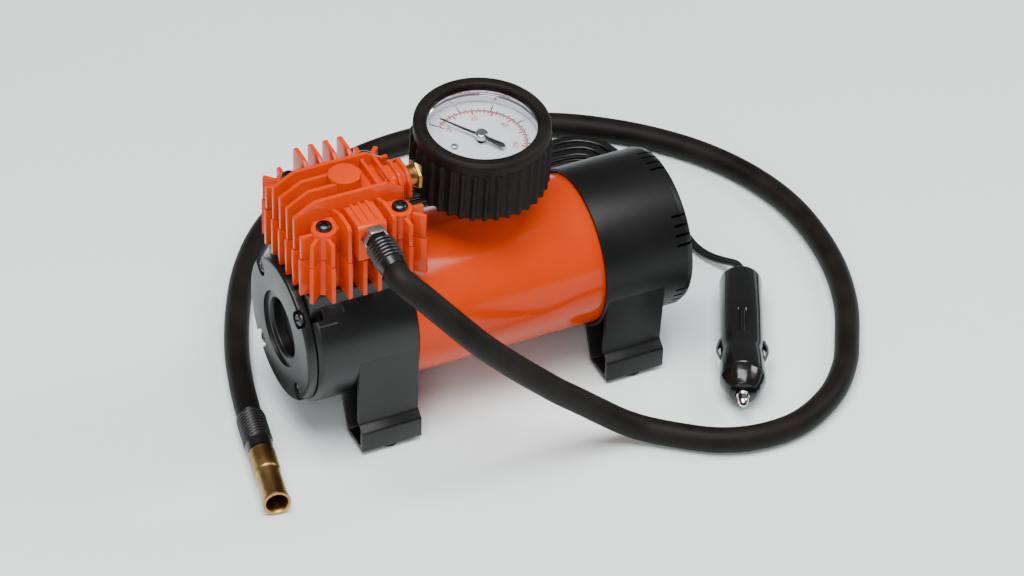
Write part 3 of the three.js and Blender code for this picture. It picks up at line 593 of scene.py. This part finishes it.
def bracket(name, x0, x1, top, material):
    solid = Solid()
    for side in (-1, 1):
        leg(solid, x0, x1, top, side)
    add(name, solid, "machine", material)


RECESS_ANGLE = 135


def crankcase():
    x0 = CASE_LOW.x
    r = 34.9
    back = FACE_X + 52
    solid = Solid()
    profile = [(31.4, x0 + 3), (31.4, x0), (33.4, x0), (r, x0 + 2.2), (r, back), (29, back)]
    profile = [profile[0], *rounded(profile, 0.5, 3, closed=False)[1:]]
    solid.lathe([*profile, (29, back - 3), (28.9, x0 + 3.2)], ON_AXIS, 144, loop=True)
    piece = bare("crankcase_casting", solid)
    recess = ON_AXIS @ spin(RECESS_ANGLE, "Z")
    for low, high, start, end in (
        (-6.2, -5.4, x0 - 1, x0 + 15), (5.4, 6.2, x0 - 1, x0 + 11), (-6.2, 2.0, x0 + 14.4, x0 + 15.2),
    ):
        carve(piece, Solid().block(34.2, 36, low, high, start, end, recess, 0.1))
    inner_end = [polar(3.4, a) for a in range(90, 271, 15)]
    pocket = [(36, -3.4), (36, 3.4), *[(33.2 + px, py) for px, py in inner_end]]
    carve(piece, Solid().prism(pocket, x0 - 1, x0 + 5, recess, 0.2))
    carve(piece, bore_tool(SKIRT_HOLE_R))
    finish(piece, "machine", CASE_BLACK, ("crankcase",))
    pad = rounded([(-23, 72), (23, 72), (23, CASE_HIGH.z), (-23, CASE_HIGH.z)], 1.6, 4)
    seat = bare("cylinder_pad", Solid().prism(pad, x0, back - 0.2, ALONG_X, 0.9))
    carve(seat, bore_tool(SKIRT_HOLE_R))
    finish(seat, "machine", CASE_BLACK)
    bracket("front_bracket", FACE_X + 23.2, back, r, CASE_BLACK)


COVER_SCREW_RING = 28.4


def cover():
    r = (COVER_HIGH.y - COVER_LOW.y) / 2
    x = COVER_LOW.x
    profile = [
        (0.01, x + 7), (13.2, x + 7), (13.2, x + 3), (14.4, x + 1.5), (17.5, x + 1.5), (17.5, x),
        (r - 0.8, x), (r, x + 0.8), (r, x + 4.5), (0.01, x + 8.5),
    ]
    profile = [profile[0], *rounded(profile, 0.35, 3, closed=False)[1:]]
    piece = bare("crankcase_front", Solid().lathe(profile, ON_AXIS, 144))
    for k in range(4):
        pocket = Solid()
        inner_end = [polar(4.1, a) for a in range(90, 271, 15)]
        slot = [(36, -4.1), (36, 4.1), *[(COVER_SCREW_RING + px, py) for px, py in inner_end]]
        at = ON_AXIS @ spin(45 + 90 * k, "Z")
        pocket.prism(slot, x - 1, x + 2.5, at, 0.2)
        carve(piece, pocket)
    finish(piece, "machine", CASE_BLACK, ("crankcase_cover",))


SLOT_GROUPS = (27, 87, 147, 207, 267, 327)
SLOT_PITCH = 7
SLOT_WIDE = 1.2


def rear_cap():
    x0, x1 = CAP_LOW.x, CAP_HIGH.x
    r = 36.8
    seat = FACE_X + 150.3
    profile = rounded([
        (r - 1.6, x0), (r, x0), (r, x1 - 4), (r - 1.2, x1 - 1.2), (r - 4, x1), (0.01, x1),
        (0.01, x1 - 2.5), (r - 2.5, x1 - 2.5), (r - 2.5, seat), (r - 1.8, seat),
    ], 0.5, 3)
    piece = bare("rear_cap_moulding", Solid().lathe(profile, ON_AXIS, 144, loop=True))
    tool = Solid()
    for centre in SLOT_GROUPS:
        for step in range(4):
            angle = centre + (step - 1.5) * SLOT_PITCH
            at = ON_AXIS @ spin(180 + angle, "Z")
            half = SLOT_WIDE / 2
            tool.block(32.6, 40, -half, half, FACE_X + 178.5, x1 + 3, at, 0.25)
    carve(piece, tool)
    finish(piece, "machine", SATIN_BLACK, ("rear_cap",))
    bracket("rear_bracket", FACE_X + 143.6, FACE_X + 172.1, r, SATIN_BLACK)


# ---- finned cylinder and head ----
FIN_Y = (3.8, 11.4, 19)
FIN_X = (3.45, 10.35, 18.2)
CORNER_ANGLES = (45, 135, 225, 315)
OVERHANG = 1.4
SCREW_DX = 17.75
SCREW_DY = 19
SCREW_SPOTS = [(dx * SCREW_DX, dy * SCREW_DY) for dx in (-1, 1) for dy in (-1, 1)]
FIN = 1.0
EDGE = 0.35
CORE_HALF = 20.5
BORE_R = 15
SKIRT_R = 17.4
SKIRT_HOLE_R = 17.8


def signs(distances):
    return [s * d for d in distances for s in (-1, 1)]


def bore_tool(radius):
    """A round cutter down the cylinder's axis, longer than anything it cuts."""
    return Solid().lathe([(0.01, 60), (radius, 60), (radius, 110), (0.01, 110)], ON_BORE, 64)


def cylinder():
    """A bored core, with the fins as separate plates that end inside its walls."""
    half, root, z0, z1 = 29.4, 19, 85.1, CYL_HIGH.z
    c = CORE_HALF
    core = bare("cylinder_core", Solid().block(-c, c, -c, c, z0, z1, ON_BORE, EDGE))
    carve(core, bore_tool(BORE_R))
    finish(core, "machine", ORANGE)
    solid = Solid()
    for side in (-1, 1):
        low, high = sorted((side * root, side * half))
        for y in signs(FIN_Y):
            solid.block(low, high, y - FIN, y + FIN, z0, z1, ON_BORE, EDGE)
        low, high = sorted((side * root, side * (half + OVERHANG)))
        for x in signs(FIN_X):
            solid.block(x - FIN, x + FIN, low, high, z0, z1, ON_BORE, EDGE)
    for a in CORNER_ANGLES:
        solid.block(24, 38.5, -FIN, FIN, z0, z1, ON_BORE @ spin(a, "Z"), EDGE)
    post = rounded([(0.01, z0), (5.2, z0), (5.2, z1), (0.01, z1)], 0.3)
    for x, y in SCREW_SPOTS:
        solid.lathe(post, ON_BORE @ shift(x, y), 40)
    skirt = [(BORE_R, 77), (SKIRT_R, 77), (SKIRT_R, z0 + 2), (BORE_R, z0 + 2)]
    solid.lathe(skirt, ON_BORE, 64, loop=True)
    add("finned_cylinder", solid, "machine", ORANGE, ("cylinder",))


def head():
    h = 28.8
    reach = h + OVERHANG
    z0 = HEAD_LOW.z
    low, ledge, core_top, fin_top = 116.6, 117.5, 121, 127.5
    c = CORE_HALF
    solid = Solid().block(-c, c, -c, c, z0, ledge, ON_BORE, 0.7)
    solid.block(-c, c, -12.1, 12.1, z0, core_top, ON_BORE, 0.8)
    for y, end in ((-11.4, 22.7), (-3.8, 2.7), (3.8, 2.7), (11.4, 22.7)):
        outline = [
            (-h, z0), (-h, 121.8), (-h + 10, fin_top), (end - 8, fin_top), (end, 122.5), (end, z0),
        ]
        solid.prism(rounded(outline, 0.5), y - FIN, y + FIN, ON_BORE @ ALONG_Y, EDGE)
    plates = [(x, 1, 125.7) for x in signs(FIN_X[:2])] + [(x, -1, 123.7) for x in signs(FIN_X[1:2])]
    for x, side, side_top in plates:
        outline = [
            (10, z0), (reach, z0), (reach, side_top - 1.5), (h, side_top), (19, side_top),
            (12, core_top), (10, core_top),
        ]
        outline = rounded([(side * y, z) for y, z in outline], 0.5)
        solid.prism(outline, x - FIN, x + FIN, ON_BORE @ ALONG_X, EDGE)
    for y in signs(FIN_Y[2:]):
        solid.block(-h, h, y - FIN, y + FIN, z0, low, ON_BORE, EDGE)
    for x in signs(FIN_X[2:]):
        solid.block(x - FIN, x + FIN, -reach, reach, z0, low, ON_BORE, EDGE)
    for a in CORNER_ANGLES:
        solid.block(24, 38, -FIN, FIN, z0, low, ON_BORE @ spin(a, "Z"), EDGE)
    for y in signs(FIN_Y[:1]):
        solid.block(10, h, y - FIN, y + FIN, z0, 111, ON_BORE, EDGE)
    for x, y in SCREW_SPOTS:
        boss = rounded([(0.01, z0), (5.8, z0), (5.8, 118.3), (0.01, 118.3)], 0.9)
        solid.lathe(boss, ON_BORE @ shift(x, y), 48)
    button = [(0.01, 118), (8.4, 118), (7.3, 122), (7.3, 129), (0.01, 129)]
    solid.lathe(rounded(button, 0.8), ON_BORE, 64)
    port = rounded([(-31, z0), (-31, 121.5), (-29.5, 122.8), (-15, 122.8), (-11, 119), (-11, z0)], 1.2)
    solid.prism(port, -6.8, 6.8, ON_BORE @ ALONG_X, 0.9)
    for x in (-3.6, 0, 3.6):
        ridge = rounded([(-28, 121), (-28, 123.4), (-15, 123.9), (-12, 121)], 0.5)
        solid.prism(ridge, x - 0.7, x + 0.7, ON_BORE @ ALONG_X, 0.4)
    socket = [
        (-7, 112), (-7, 121), (-4.6, 123.6), (4.6, 123.6), (7, 121), (7, 112), (5, 110), (-5, 110),
    ]
    solid.prism(rounded(socket, 1.0), 17, h, ON_BORE @ ALONG_X, 0.8)
    for x in (11.8, 17.6):
        ridge = [(-11.6, 119), (-11.6, 125.2), (11.6, 125.2), (11.6, 119)]
        solid.prism(rounded(ridge, 0.8), x, x + 1.9, ON_BORE @ ALONG_X, 0.6)
    collar = [
        (-9, 113), (-9, 121.5), (-5.4, 125.4), (5.4, 125.4), (9, 121.5), (9, 113), (6, 110), (-6, 110),
    ]
    for x in (22.4, 26.4):
        solid.prism(rounded(collar, 1.2), x, x + 2.2, ON_BORE @ ALONG_X, 0.7)
    add("finned_head", solid, "machine", ORANGE, ("cylinder_head",))


# ---- screws ----
def screw_head(r, height):
    """A domed head with a cross recess, its seat at zero."""
    dome = [(0.01, 0), (r, 0), (r, height * 0.25), (r * 0.9, height * 0.65), (r * 0.6, height * 0.93),
            (r * 0.3, height), (0.01, height)]
    return Solid().lathe(rounded(dome, 0.25, 2), UPRIGHT, 48)


def cross(r, height):
    tool = Solid()
    tool.block(-r * 0.55, r * 0.55, -r * 0.13, r * 0.13, height * 0.4, height + 1, edge=0.12)
    return tool


def screw(name, at, r, height, node):
    piece = bare(name, screw_head(r, height))
    carve(piece, cross(r, height))
    other = Solid()
    other.block(-r * 0.13, r * 0.13, -r * 0.55, r * 0.55, height * 0.4, height + 1, edge=0.12)
    carve(piece, other)
    scaled = Matrix.Scale(MM, 4) @ at @ Matrix.Scale(1 / MM, 4)
    piece.data.transform(scaled)
    finish(piece, "machine", DARK_STEEL, (node,), 40)


def screws():
    for i, (sx, sy) in enumerate(((-1, -1), (1, -1), (-1, 1), (1, 1))):
        at = shift(BORE_X + sx * SCREW_DX, sy * SCREW_DY, 118.6) @ spin(20 + 37 * i, "Z")
        screw(f"head_bolt_{i + 1}", at, 3.6, 2.3, f"head_screw_{i + 1}")
    for i in range(4):
        y, z = polar(COVER_SCREW_RING, 45 + 90 * i)
        at = shift(FACE_X + 2.2, y, AXIS_Z + z) @ ALONG_X @ spin(180, "X") @ spin(30 * i, "Z")
        screw(f"cover_bolt_{i + 1}", at, 3.3, 2.0, f"cover_screw_{i + 1}")


# ---- rubber feet ----
def feet():
    for i in range(4):
        low, high = span(f"rubber_foot_{i + 1}")
        middle = (low + high) / 2
        r = (high.x - low.x) / 2
        profile = [(0.01, 0), (r - 1, 0), (r, 0.8), (r, 1.7), (2.1, 1.7), (2.1, 6.5), (0.01, 6.5)]
        solid = Solid().lathe(rounded(profile, 0.3), shift(middle.x, middle.y, 0), 40)
        add(f"foot_{i + 1}", solid, "machine", RUBBER, (f"rubber_foot_{i + 1}",))


# ---- pressure gauge ----
RIBS = 36
BOOT_R = 29.6
RIB_DEEP = 1.6
WINDOW_R = 24.2
CASE_R = 27.6
DIAL_TOP = 9.0


def rib_swell(degrees, height):
    if height > 14.6:
        return 0
    wave = math.cos(math.radians(degrees * RIBS))
    share = max(0.0, (wave + 0.1) / 1.1) ** 0.8
    fade = min(1.0, (14.6 - height) / 1.8)
    return RIB_DEEP * share * math.sin(fade * math.pi / 2)


def gauge():
    outline = [(24, -10.6), (BOOT_R - 0.5, -10.6), (BOOT_R, -10.1)]
    outline += [(BOOT_R, h) for h in (-4, 3, 9, 12, 12.8, 13.4, 13.9, 14.3, 14.6)]
    top = [
        (BOOT_R + 0.7, 16.2), (BOOT_R + 0.7, 19.6), (BOOT_R - 0.9, 21), (WINDOW_R + 1.0, 21),
        (WINDOW_R, 19.8), (WINDOW_R, 17), (CASE_R + 0.3, 17), (CASE_R + 0.3, -9.3), (24, -9.3),
    ]
    profile = outline + rounded(top, 0.6, 4)
    solid = Solid().lathe(profile, GAUGE_AT, 432, loop=True, swell=rib_swell)
    add("gauge_rubber_boot", solid, "machine", RUBBER, ("gauge_boot",), 40)

    r = CASE_R
    case = [
        (0.01, -9), (r, -9), (r, 16.7), (r - 1.2, 16.7), (r - 1.2, 13.2), (r - 2, 12.6),
        (r - 2, DIAL_TOP - 1.2), (r - 1.2, DIAL_TOP - 1.8), (r - 1.2, -7.8), (0.01, -7.8),
    ]
    add("gauge_metal_case", Solid().lathe(rounded(case, 0.2), GAUGE_AT, 128, loop=True), "machine",
        CHROME, ("gauge_case",))
    glass = rounded([(0.01, 15.3), (r - 1.5, 15.3), (r - 1.5, 16.6), (0.01, 16.9)], 0.15)
    add("gauge_window", Solid().lathe(glass, GAUGE_AT, 96), "machine", LENS,
        ("gauge_lens",))


ZERO_ANGLE = 132
DEGREES_PER_BAR = 39.5
PSI_PER_BAR = 14.504
PRINT_DEEP = 0.06


def mark(solid, degrees, inner, outer, wide):
    at = GAUGE_AT @ spin(degrees, "Z")
    half = wide / 2
    outline = [(inner, -half), (outer, -half), (outer, half), (inner, half)]
    solid.prism(outline, DIAL_TOP, DIAL_TOP + PRINT_DEEP, at, 0.01)


def arc(solid, start, end, radius, wide):
    outline = [polar(radius, start + (end - start) * k / 60) for k in range(61)]
    outline += [polar(radius - wide, end + (start - end) * k / 60) for k in range(61)]
    solid.prism(outline, DIAL_TOP, DIAL_TOP + PRINT_DEEP, GAUGE_AT, 0.01)


def numeral(name, text, degrees, radius, size, material):
    letters = bpy.data.curves.new(name, "FONT")
    letters.body = text
    letters.size = size * MM
    letters.extrude = PRINT_DEEP / 2 * MM
    letters.align_x = "CENTER"
    letters.align_y = "CENTER"
    holder = bpy.data.objects.new(name, letters)
    bpy.context.scene.collection.objects.link(holder)
    graph = bpy.context.evaluated_depsgraph_get()
    mesh = bpy.data.meshes.new_from_object(holder.evaluated_get(graph))
    bpy.data.objects.remove(holder)
    at = GAUGE_AT @ spin(degrees, "Z") @ shift(radius, 0, DIAL_TOP + PRINT_DEEP / 2) @ spin(-90, "Z")
    mesh.transform(Matrix.Scale(MM, 4) @ at @ Matrix.Scale(1 / MM, 4))
    piece = bpy.data.objects.new(name, mesh)
    bpy.context.scene.collection.objects.link(piece)
    finish(piece, "machine", material)


SPINDLE_HOLE_R = 1.9


def dial():
    r = CASE_R - 2.05
    plate = [(SPINDLE_HOLE_R, 8.2), (r, 8.2), (r, DIAL_TOP), (SPINDLE_HOLE_R, DIAL_TOP)]
    solid = Solid().lathe(rounded(plate, 0.1), GAUGE_AT, 96, loop=True)
    add("dial_plate", solid, "machine", DIAL_WHITE, ("gauge_dial",))
    pins = Solid()
    for degrees, reach in ((178, 12.5), (214, 15.5)):
        rivet = [(0.01, DIAL_TOP), (1.9, DIAL_TOP), (1.4, DIAL_TOP + 1.1), (0.01, DIAL_TOP + 1.4)]
        pins.lathe(rounded(rivet, 0.3), GAUGE_AT @ shift(*polar(reach, degrees)), 24)
    stop = rounded([(0.01, DIAL_TOP - 0.3), (0.6, DIAL_TOP - 0.3), (0.6, 11.1), (0.01, 11.1)], 0.1)
    pins.lathe(stop, GAUGE_AT @ shift(*polar(16, 129.5)), 16)
    add("dial_pins", pins, "machine", ZINC)
    black = Solid()
    for tenth in range(0, 71, 2):
        whole = tenth % 10 == 0
        mark(black, ZERO_ANGLE - DEGREES_PER_BAR * tenth / 10, 20.2, 22.4 if whole else 21.3,
             0.55 if whole else 0.36)
    arc(black, ZERO_ANGLE, ZERO_ANGLE - DEGREES_PER_BAR * 7, 20.3, 0.36)
    add("dial_bar_scale", black, "machine", PRINT_BLACK)
    red = Solid()
    per_psi = DEGREES_PER_BAR / PSI_PER_BAR
    for psi in range(0, 101, 2):
        whole = psi % 10 == 0
        mark(red, ZERO_ANGLE - per_psi * psi, 17.4 if whole else 18.4, 19.6, 0.75 if whole else 0.48)
    arc(red, ZERO_ANGLE, ZERO_ANGLE - per_psi * 100, 19.7, 0.42)
    add("dial_psi_scale", red, "machine", PRINT_RED)
    for bar in range(8):
        numeral(f"bar_{bar}", str(bar), ZERO_ANGLE - DEGREES_PER_BAR * bar, 23.3, 2.9,
                PRINT_BLACK)
    for psi in range(0, 101, 20):
        numeral(f"psi_{psi}", str(psi), ZERO_ANGLE - per_psi * psi, 15.0, 3.6, PRINT_RED)


REST_ANGLE = 125


def pointer():
    at = GAUGE_AT @ spin(REST_ANGLE, "Z")
    blade = [(21, -0.2), (21, 0.2), (3, 0.75), (-3, 0.95), (-10.5, 1.35), (-12, 0.2), (-12, -0.2),
             (-10.5, -1.35), (-3, -0.95), (3, -0.75)]
    solid = Solid().prism(blade, 11.4, 11.95, at, 0.05)
    solid.lathe([(1.2, 4.6), (1.2, 11.5)], at, 24)
    add("pointer_blade", solid, "needle", PRINT_BLACK, ("gauge_needle",))
    hub = [(0.01, 10.2), (2.1, 10.2), (2.1, 11.9), (3, 12.2), (3, 13.3), (2.5, 13.9), (0.01, 13.9)]
    add("pointer_hub", Solid().lathe(rounded(hub, 0.25), at, 48), "needle", CHROME)


def gauge_stem():
    stem = Solid()
    hexagon = [polar(6.9, 60 * k + 30) for k in range(6)]
    at = GAUGE_AT @ ALONG_X
    stem.prism(rounded(hexagon, 0.6), -32, -28, at, 0.5)
    stem.lathe(rounded([(0.01, -44), (4.8, -44), (4.8, -31), (0.01, -31)], 0.3), at, 48)
    for k in range(9):
        stem.lathe([(4.6, -43.2 + k), (5.1, -42.9 + k), (4.6, -42.6 + k)], at, 48)
    add("gauge_brass_stem", stem, "machine", BRASS, ("gauge_fitting",))


# ---- hose fittings ----
def ribbed(length, r, first, last, pitch=1.9, deep=0.75):
    """A sleeve's profile, with rounded rings between two heights."""
    profile = [(0.01, 0), (r - 1.1, 0), (r - 0.4, 0.8)]
    rings = int((last - first) / pitch)
    for k in range(rings):
        h = first + k * pitch
        profile += [(r - deep, h), (r - 0.15, h + pitch * 0.25)]
        profile += [(r, h + pitch * 0.5), (r - 0.15, h + pitch * 0.75)]
    profile += [(r - deep, first + rings * pitch), (r - 0.5, last + 0.3)]
    profile += [(r - 1.1, length), (0.01, length)]
    return profile


DROOP = 9
BOOT_TOP = (BORE_X, -37.6, 117.5)


def hose_fittings():
    at = shift(*BOOT_TOP) @ spin(90 + DROOP, "X")
    add("hose_top_boot", Solid().lathe(ribbed(16.4, 6.75, 1.0, 12.4), at, 64), "machine",
        BOOT_BLACK, ("hose_boot_head",), 30)
    nut = Solid()
    hexagon = [polar(6.3, 60 * k) for k in range(6)]
    at = shift(BORE_X, -36.2, 117.5) @ ALONG_Y
    nut.prism(rounded(hexagon, 0.5), 0, 4.9, at, 0.6)
    nut.lathe(rounded([(0.01, 1), (3.2, 1), (3.2, 13.5), (0.01, 13.5)], 0.3), at, 40)
    add("hose_hex_nut", nut, "machine", ZINC, ("hose_nut",))
    add("hose_end_boot", Solid().lathe(ribbed(24.4, 6.75, 2.0, 20.0), CHUCK_AT @ shift(0, 0, 0.6), 64),
        "machine", BOOT_BLACK, ("hose_boot_chuck",), 30)


KNURL_TEETH = 32


def knurl(degrees, height):
    """Raised diamonds between two heights, measured from the chuck's rear."""
    if not 26.3 < height < 39.6:
        return 0
    first = math.sin(math.radians(degrees * KNURL_TEETH) + height * 3.6)
    second = math.sin(math.radians(degrees * KNURL_TEETH) - height * 3.6)
    return 0.16 * max(0.0, first * second)


def valve_chuck():
    start = 25.3
    profile = [(0.01, 0), (4.8, 0), (5.2, 0.3), (6.0, 1.0)]
    profile += [(6.0, 1.0 + 13.3 * k / 44) for k in range(1, 45)]
    profile += [(5.7, 14.9), (5.65, 15.6), (5.75, 24), (5.85, 29), (6.1, 32.5), (6.35, 34), (6.2, 34.5)]
    profile += [(5.1, 34.5), (4.6, 33.6), (4.4, 32), (4.4, 19), (0.01, 19)]
    solid = Solid().lathe([(r, h + start) for r, h in profile], CHUCK_AT, 192, swell=knurl)
    add("brass_valve_chuck", solid, "chuck", BRASS, ("valve_chuck",))
    core = rounded([(0.01, 18.5), (1.4, 18.5), (1.2, 26), (0.6, 27.5), (0.01, 27.5)], 0.2)
    add("chuck_valve_pin", Solid().lathe([(r, h + start) for r, h in core], CHUCK_AT, 24), "chuck",
        BRASS)


# ---- accessory plug ----
def plug_swell(degrees, height):
    """Two deep grip grooves along the barrel, on its two open sides."""
    if not 31 < height < 50:
        return 0
    off = min(abs((degrees - a + 180) % 360 - 180) for a in (78, 102, 258, 282))
    ends = min(1.0, (height - 31) / 2, (50 - height) / 2)
    return -1.1 * max(0.0, 1 - (off / 7) ** 2) * ends


def plug():
    r = 10.4
    profile = [(0.01, 0), (7.6, 0), (8.8, 0.5), (r - 0.8, 1.4), (r - 0.5, 2.6)]
    profile += [(r - 0.5, 29 + 22 * k / 24) for k in range(25)]
    profile += [(r - 0.5, 55.6), (r, 57.6), (r, 70), (r - 0.4, 70.5), (7.2, 70.5), (7.2, 62), (3.6, 62),
                (3.6, 52), (0.01, 52)]
    piece = bare("plug_barrel", Solid().lathe(profile, PLUG_AT, 180, swell=plug_swell))
    for side in (-1, 1):
        x0, x1 = sorted((side * 6.6, side * 13))
        carve(piece, Solid().block(x0, x1, -2.6, 2.6, 44, 61.6, PLUG_AT, 0.25))
    finish(piece, "machine", GLOSS_BLACK, ("plug_body",), 30)
    nose = rounded([
        (4.5, 62.4), (6.8, 62.4), (6.8, 70.8), (r, 71.1), (r, 72.3), (9.4, 75), (7.9, 78.4),
        (6.2, 80.5), (3.4, 81.5), (3.4, 79.5), (4.5, 79.5),
    ], 0.3)
    add("plug_cap", Solid().lathe(nose, PLUG_AT, 96, loop=True), "nose", GLOSS_BLACK,
        ("plug_nose",), 40)
    tip = rounded([
        (0.01, 74.9), (3, 74.9), (3, 76.4), (4.1, 76.4), (4.1, 79.2), (3, 79.2), (3, 82.5),
        (2.5, 83), (2.4, 86.5), (1.6, 88.4), (0.01, 89),
    ], 0.3)
    add("plug_pin", Solid().lathe(tip, PLUG_AT, 48), "tip", CHROME, ("plug_tip",))
    for side, name in ((1, "right"), (-1, "left")):
        spring = [
            (8.9, 45), (10.6, 46), (12, 51), (12, 55), (10.6, 60), (9.4, 61.2), (9, 60), (11, 54.5),
            (11, 51.5), (9.8, 47), (8.9, 46.4),
        ]
        outline = rounded([(side * x, h) for x, h in spring], 0.5)
        clip = Solid().prism(outline, -2.2, 2.2, PLUG_AT @ ALONG_Y, 0.12)
        add(f"plug_spring_{name}", clip, f"clip_{name}", CHROME, (f"plug_clip_{name}",))


def grommet():
    at = shift(FACE_X + 164, 0, 44) @ ALONG_Y
    profile = rounded([(0.01, 33.5), (3.6, 33.5), (3.6, 36.9), (4.9, 36.9), (4.9, 38.3), (3.9, 38.6),
                       (3.5, 41), (0.01, 41)], 0.3)
    add("cable_strain_relief", Solid().lathe(profile, at, 40), "machine", RUBBER,
        ("cable_grommet",))


motor()
crankcase()
cover()
rear_cap()
cylinder()
head()
screws()
feet()
gauge()
dial()
pointer()
gauge_stem()
hose_fittings()
valve_chuck()
plug()
grommet()

# ---- inner pieces keep their CAD shape ----
INNER = {
    STEEL: ("motor_shaft", "front_bearing", "rear_bearing", "crank_disc", "big_end_bearing", "wrist_pin",
            "valve_plate", "armature_core"),
    ALLOY: ("connecting_rod", "piston"),
    COPPER: ("armature_windings", "commutator"),
    FERRITE: ("magnet_near", "magnet_far"),
    CARBON: ("brush_near", "brush_far", "piston_seal", "head_gasket"),
    SATIN_BLACK: ("brush_plate", "cooling_fan"),
    BRASS: ("bourdon_tube",),
}
for material, names in INNER.items():
    for name in names:
        mesh = frame["nodes"][name].data
        mesh.materials.clear()
        mesh.materials.append(material)

print("hose", round(length_of(hose_line), 3), "cable", round(length_of(cable_line), 3))


# ---- floor and light ----
def floor():
    half = 6
    mesh = bpy.data.meshes.new("floor")
    corners = [(-half, -half, 0), (half, -half, 0), (half, half, 0), (-half, half, 0)]
    mesh.from_pydata(corners, [], [(0, 1, 2, 3)])
    mesh.materials.append(FLOOR)
    piece = bpy.data.objects.new("floor", mesh)
    bpy.context.scene.collection.objects.link(piece)


def softbox(name, place, target, size, power):
    lamp = bpy.data.lights.new(name, "AREA")
    lamp.shape = "RECTANGLE"
    lamp.size, lamp.size_y = size
    lamp.energy = power
    light = bpy.data.objects.new(name, lamp)
    light.location = place
    light.rotation_euler = (Vector(target) - Vector(place)).to_track_quat("-Z", "Y").to_euler()
    bpy.context.scene.collection.objects.link(light)


floor()
softbox("overhead", (-0.2, -0.25, 1.5), (0, 0, 0), (1.3, 0.9), 42)
softbox("front", (-0.9, -1.3, 1.1), (0, 0, 0.05), (0.9, 0.9), 13)
softbox("right", (1.3, -0.2, 1.0), (0, 0, 0.05), (0.4, 0.7), 10)
world = bpy.data.worlds.new("studio")
world.use_nodes = True
world.node_tree.nodes["Background"].inputs["Color"].default_value = (0.95, 0.97, 1.0, 1)
world.node_tree.nodes["Background"].inputs["Strength"].default_value = 0.20
bpy.context.scene.world = world
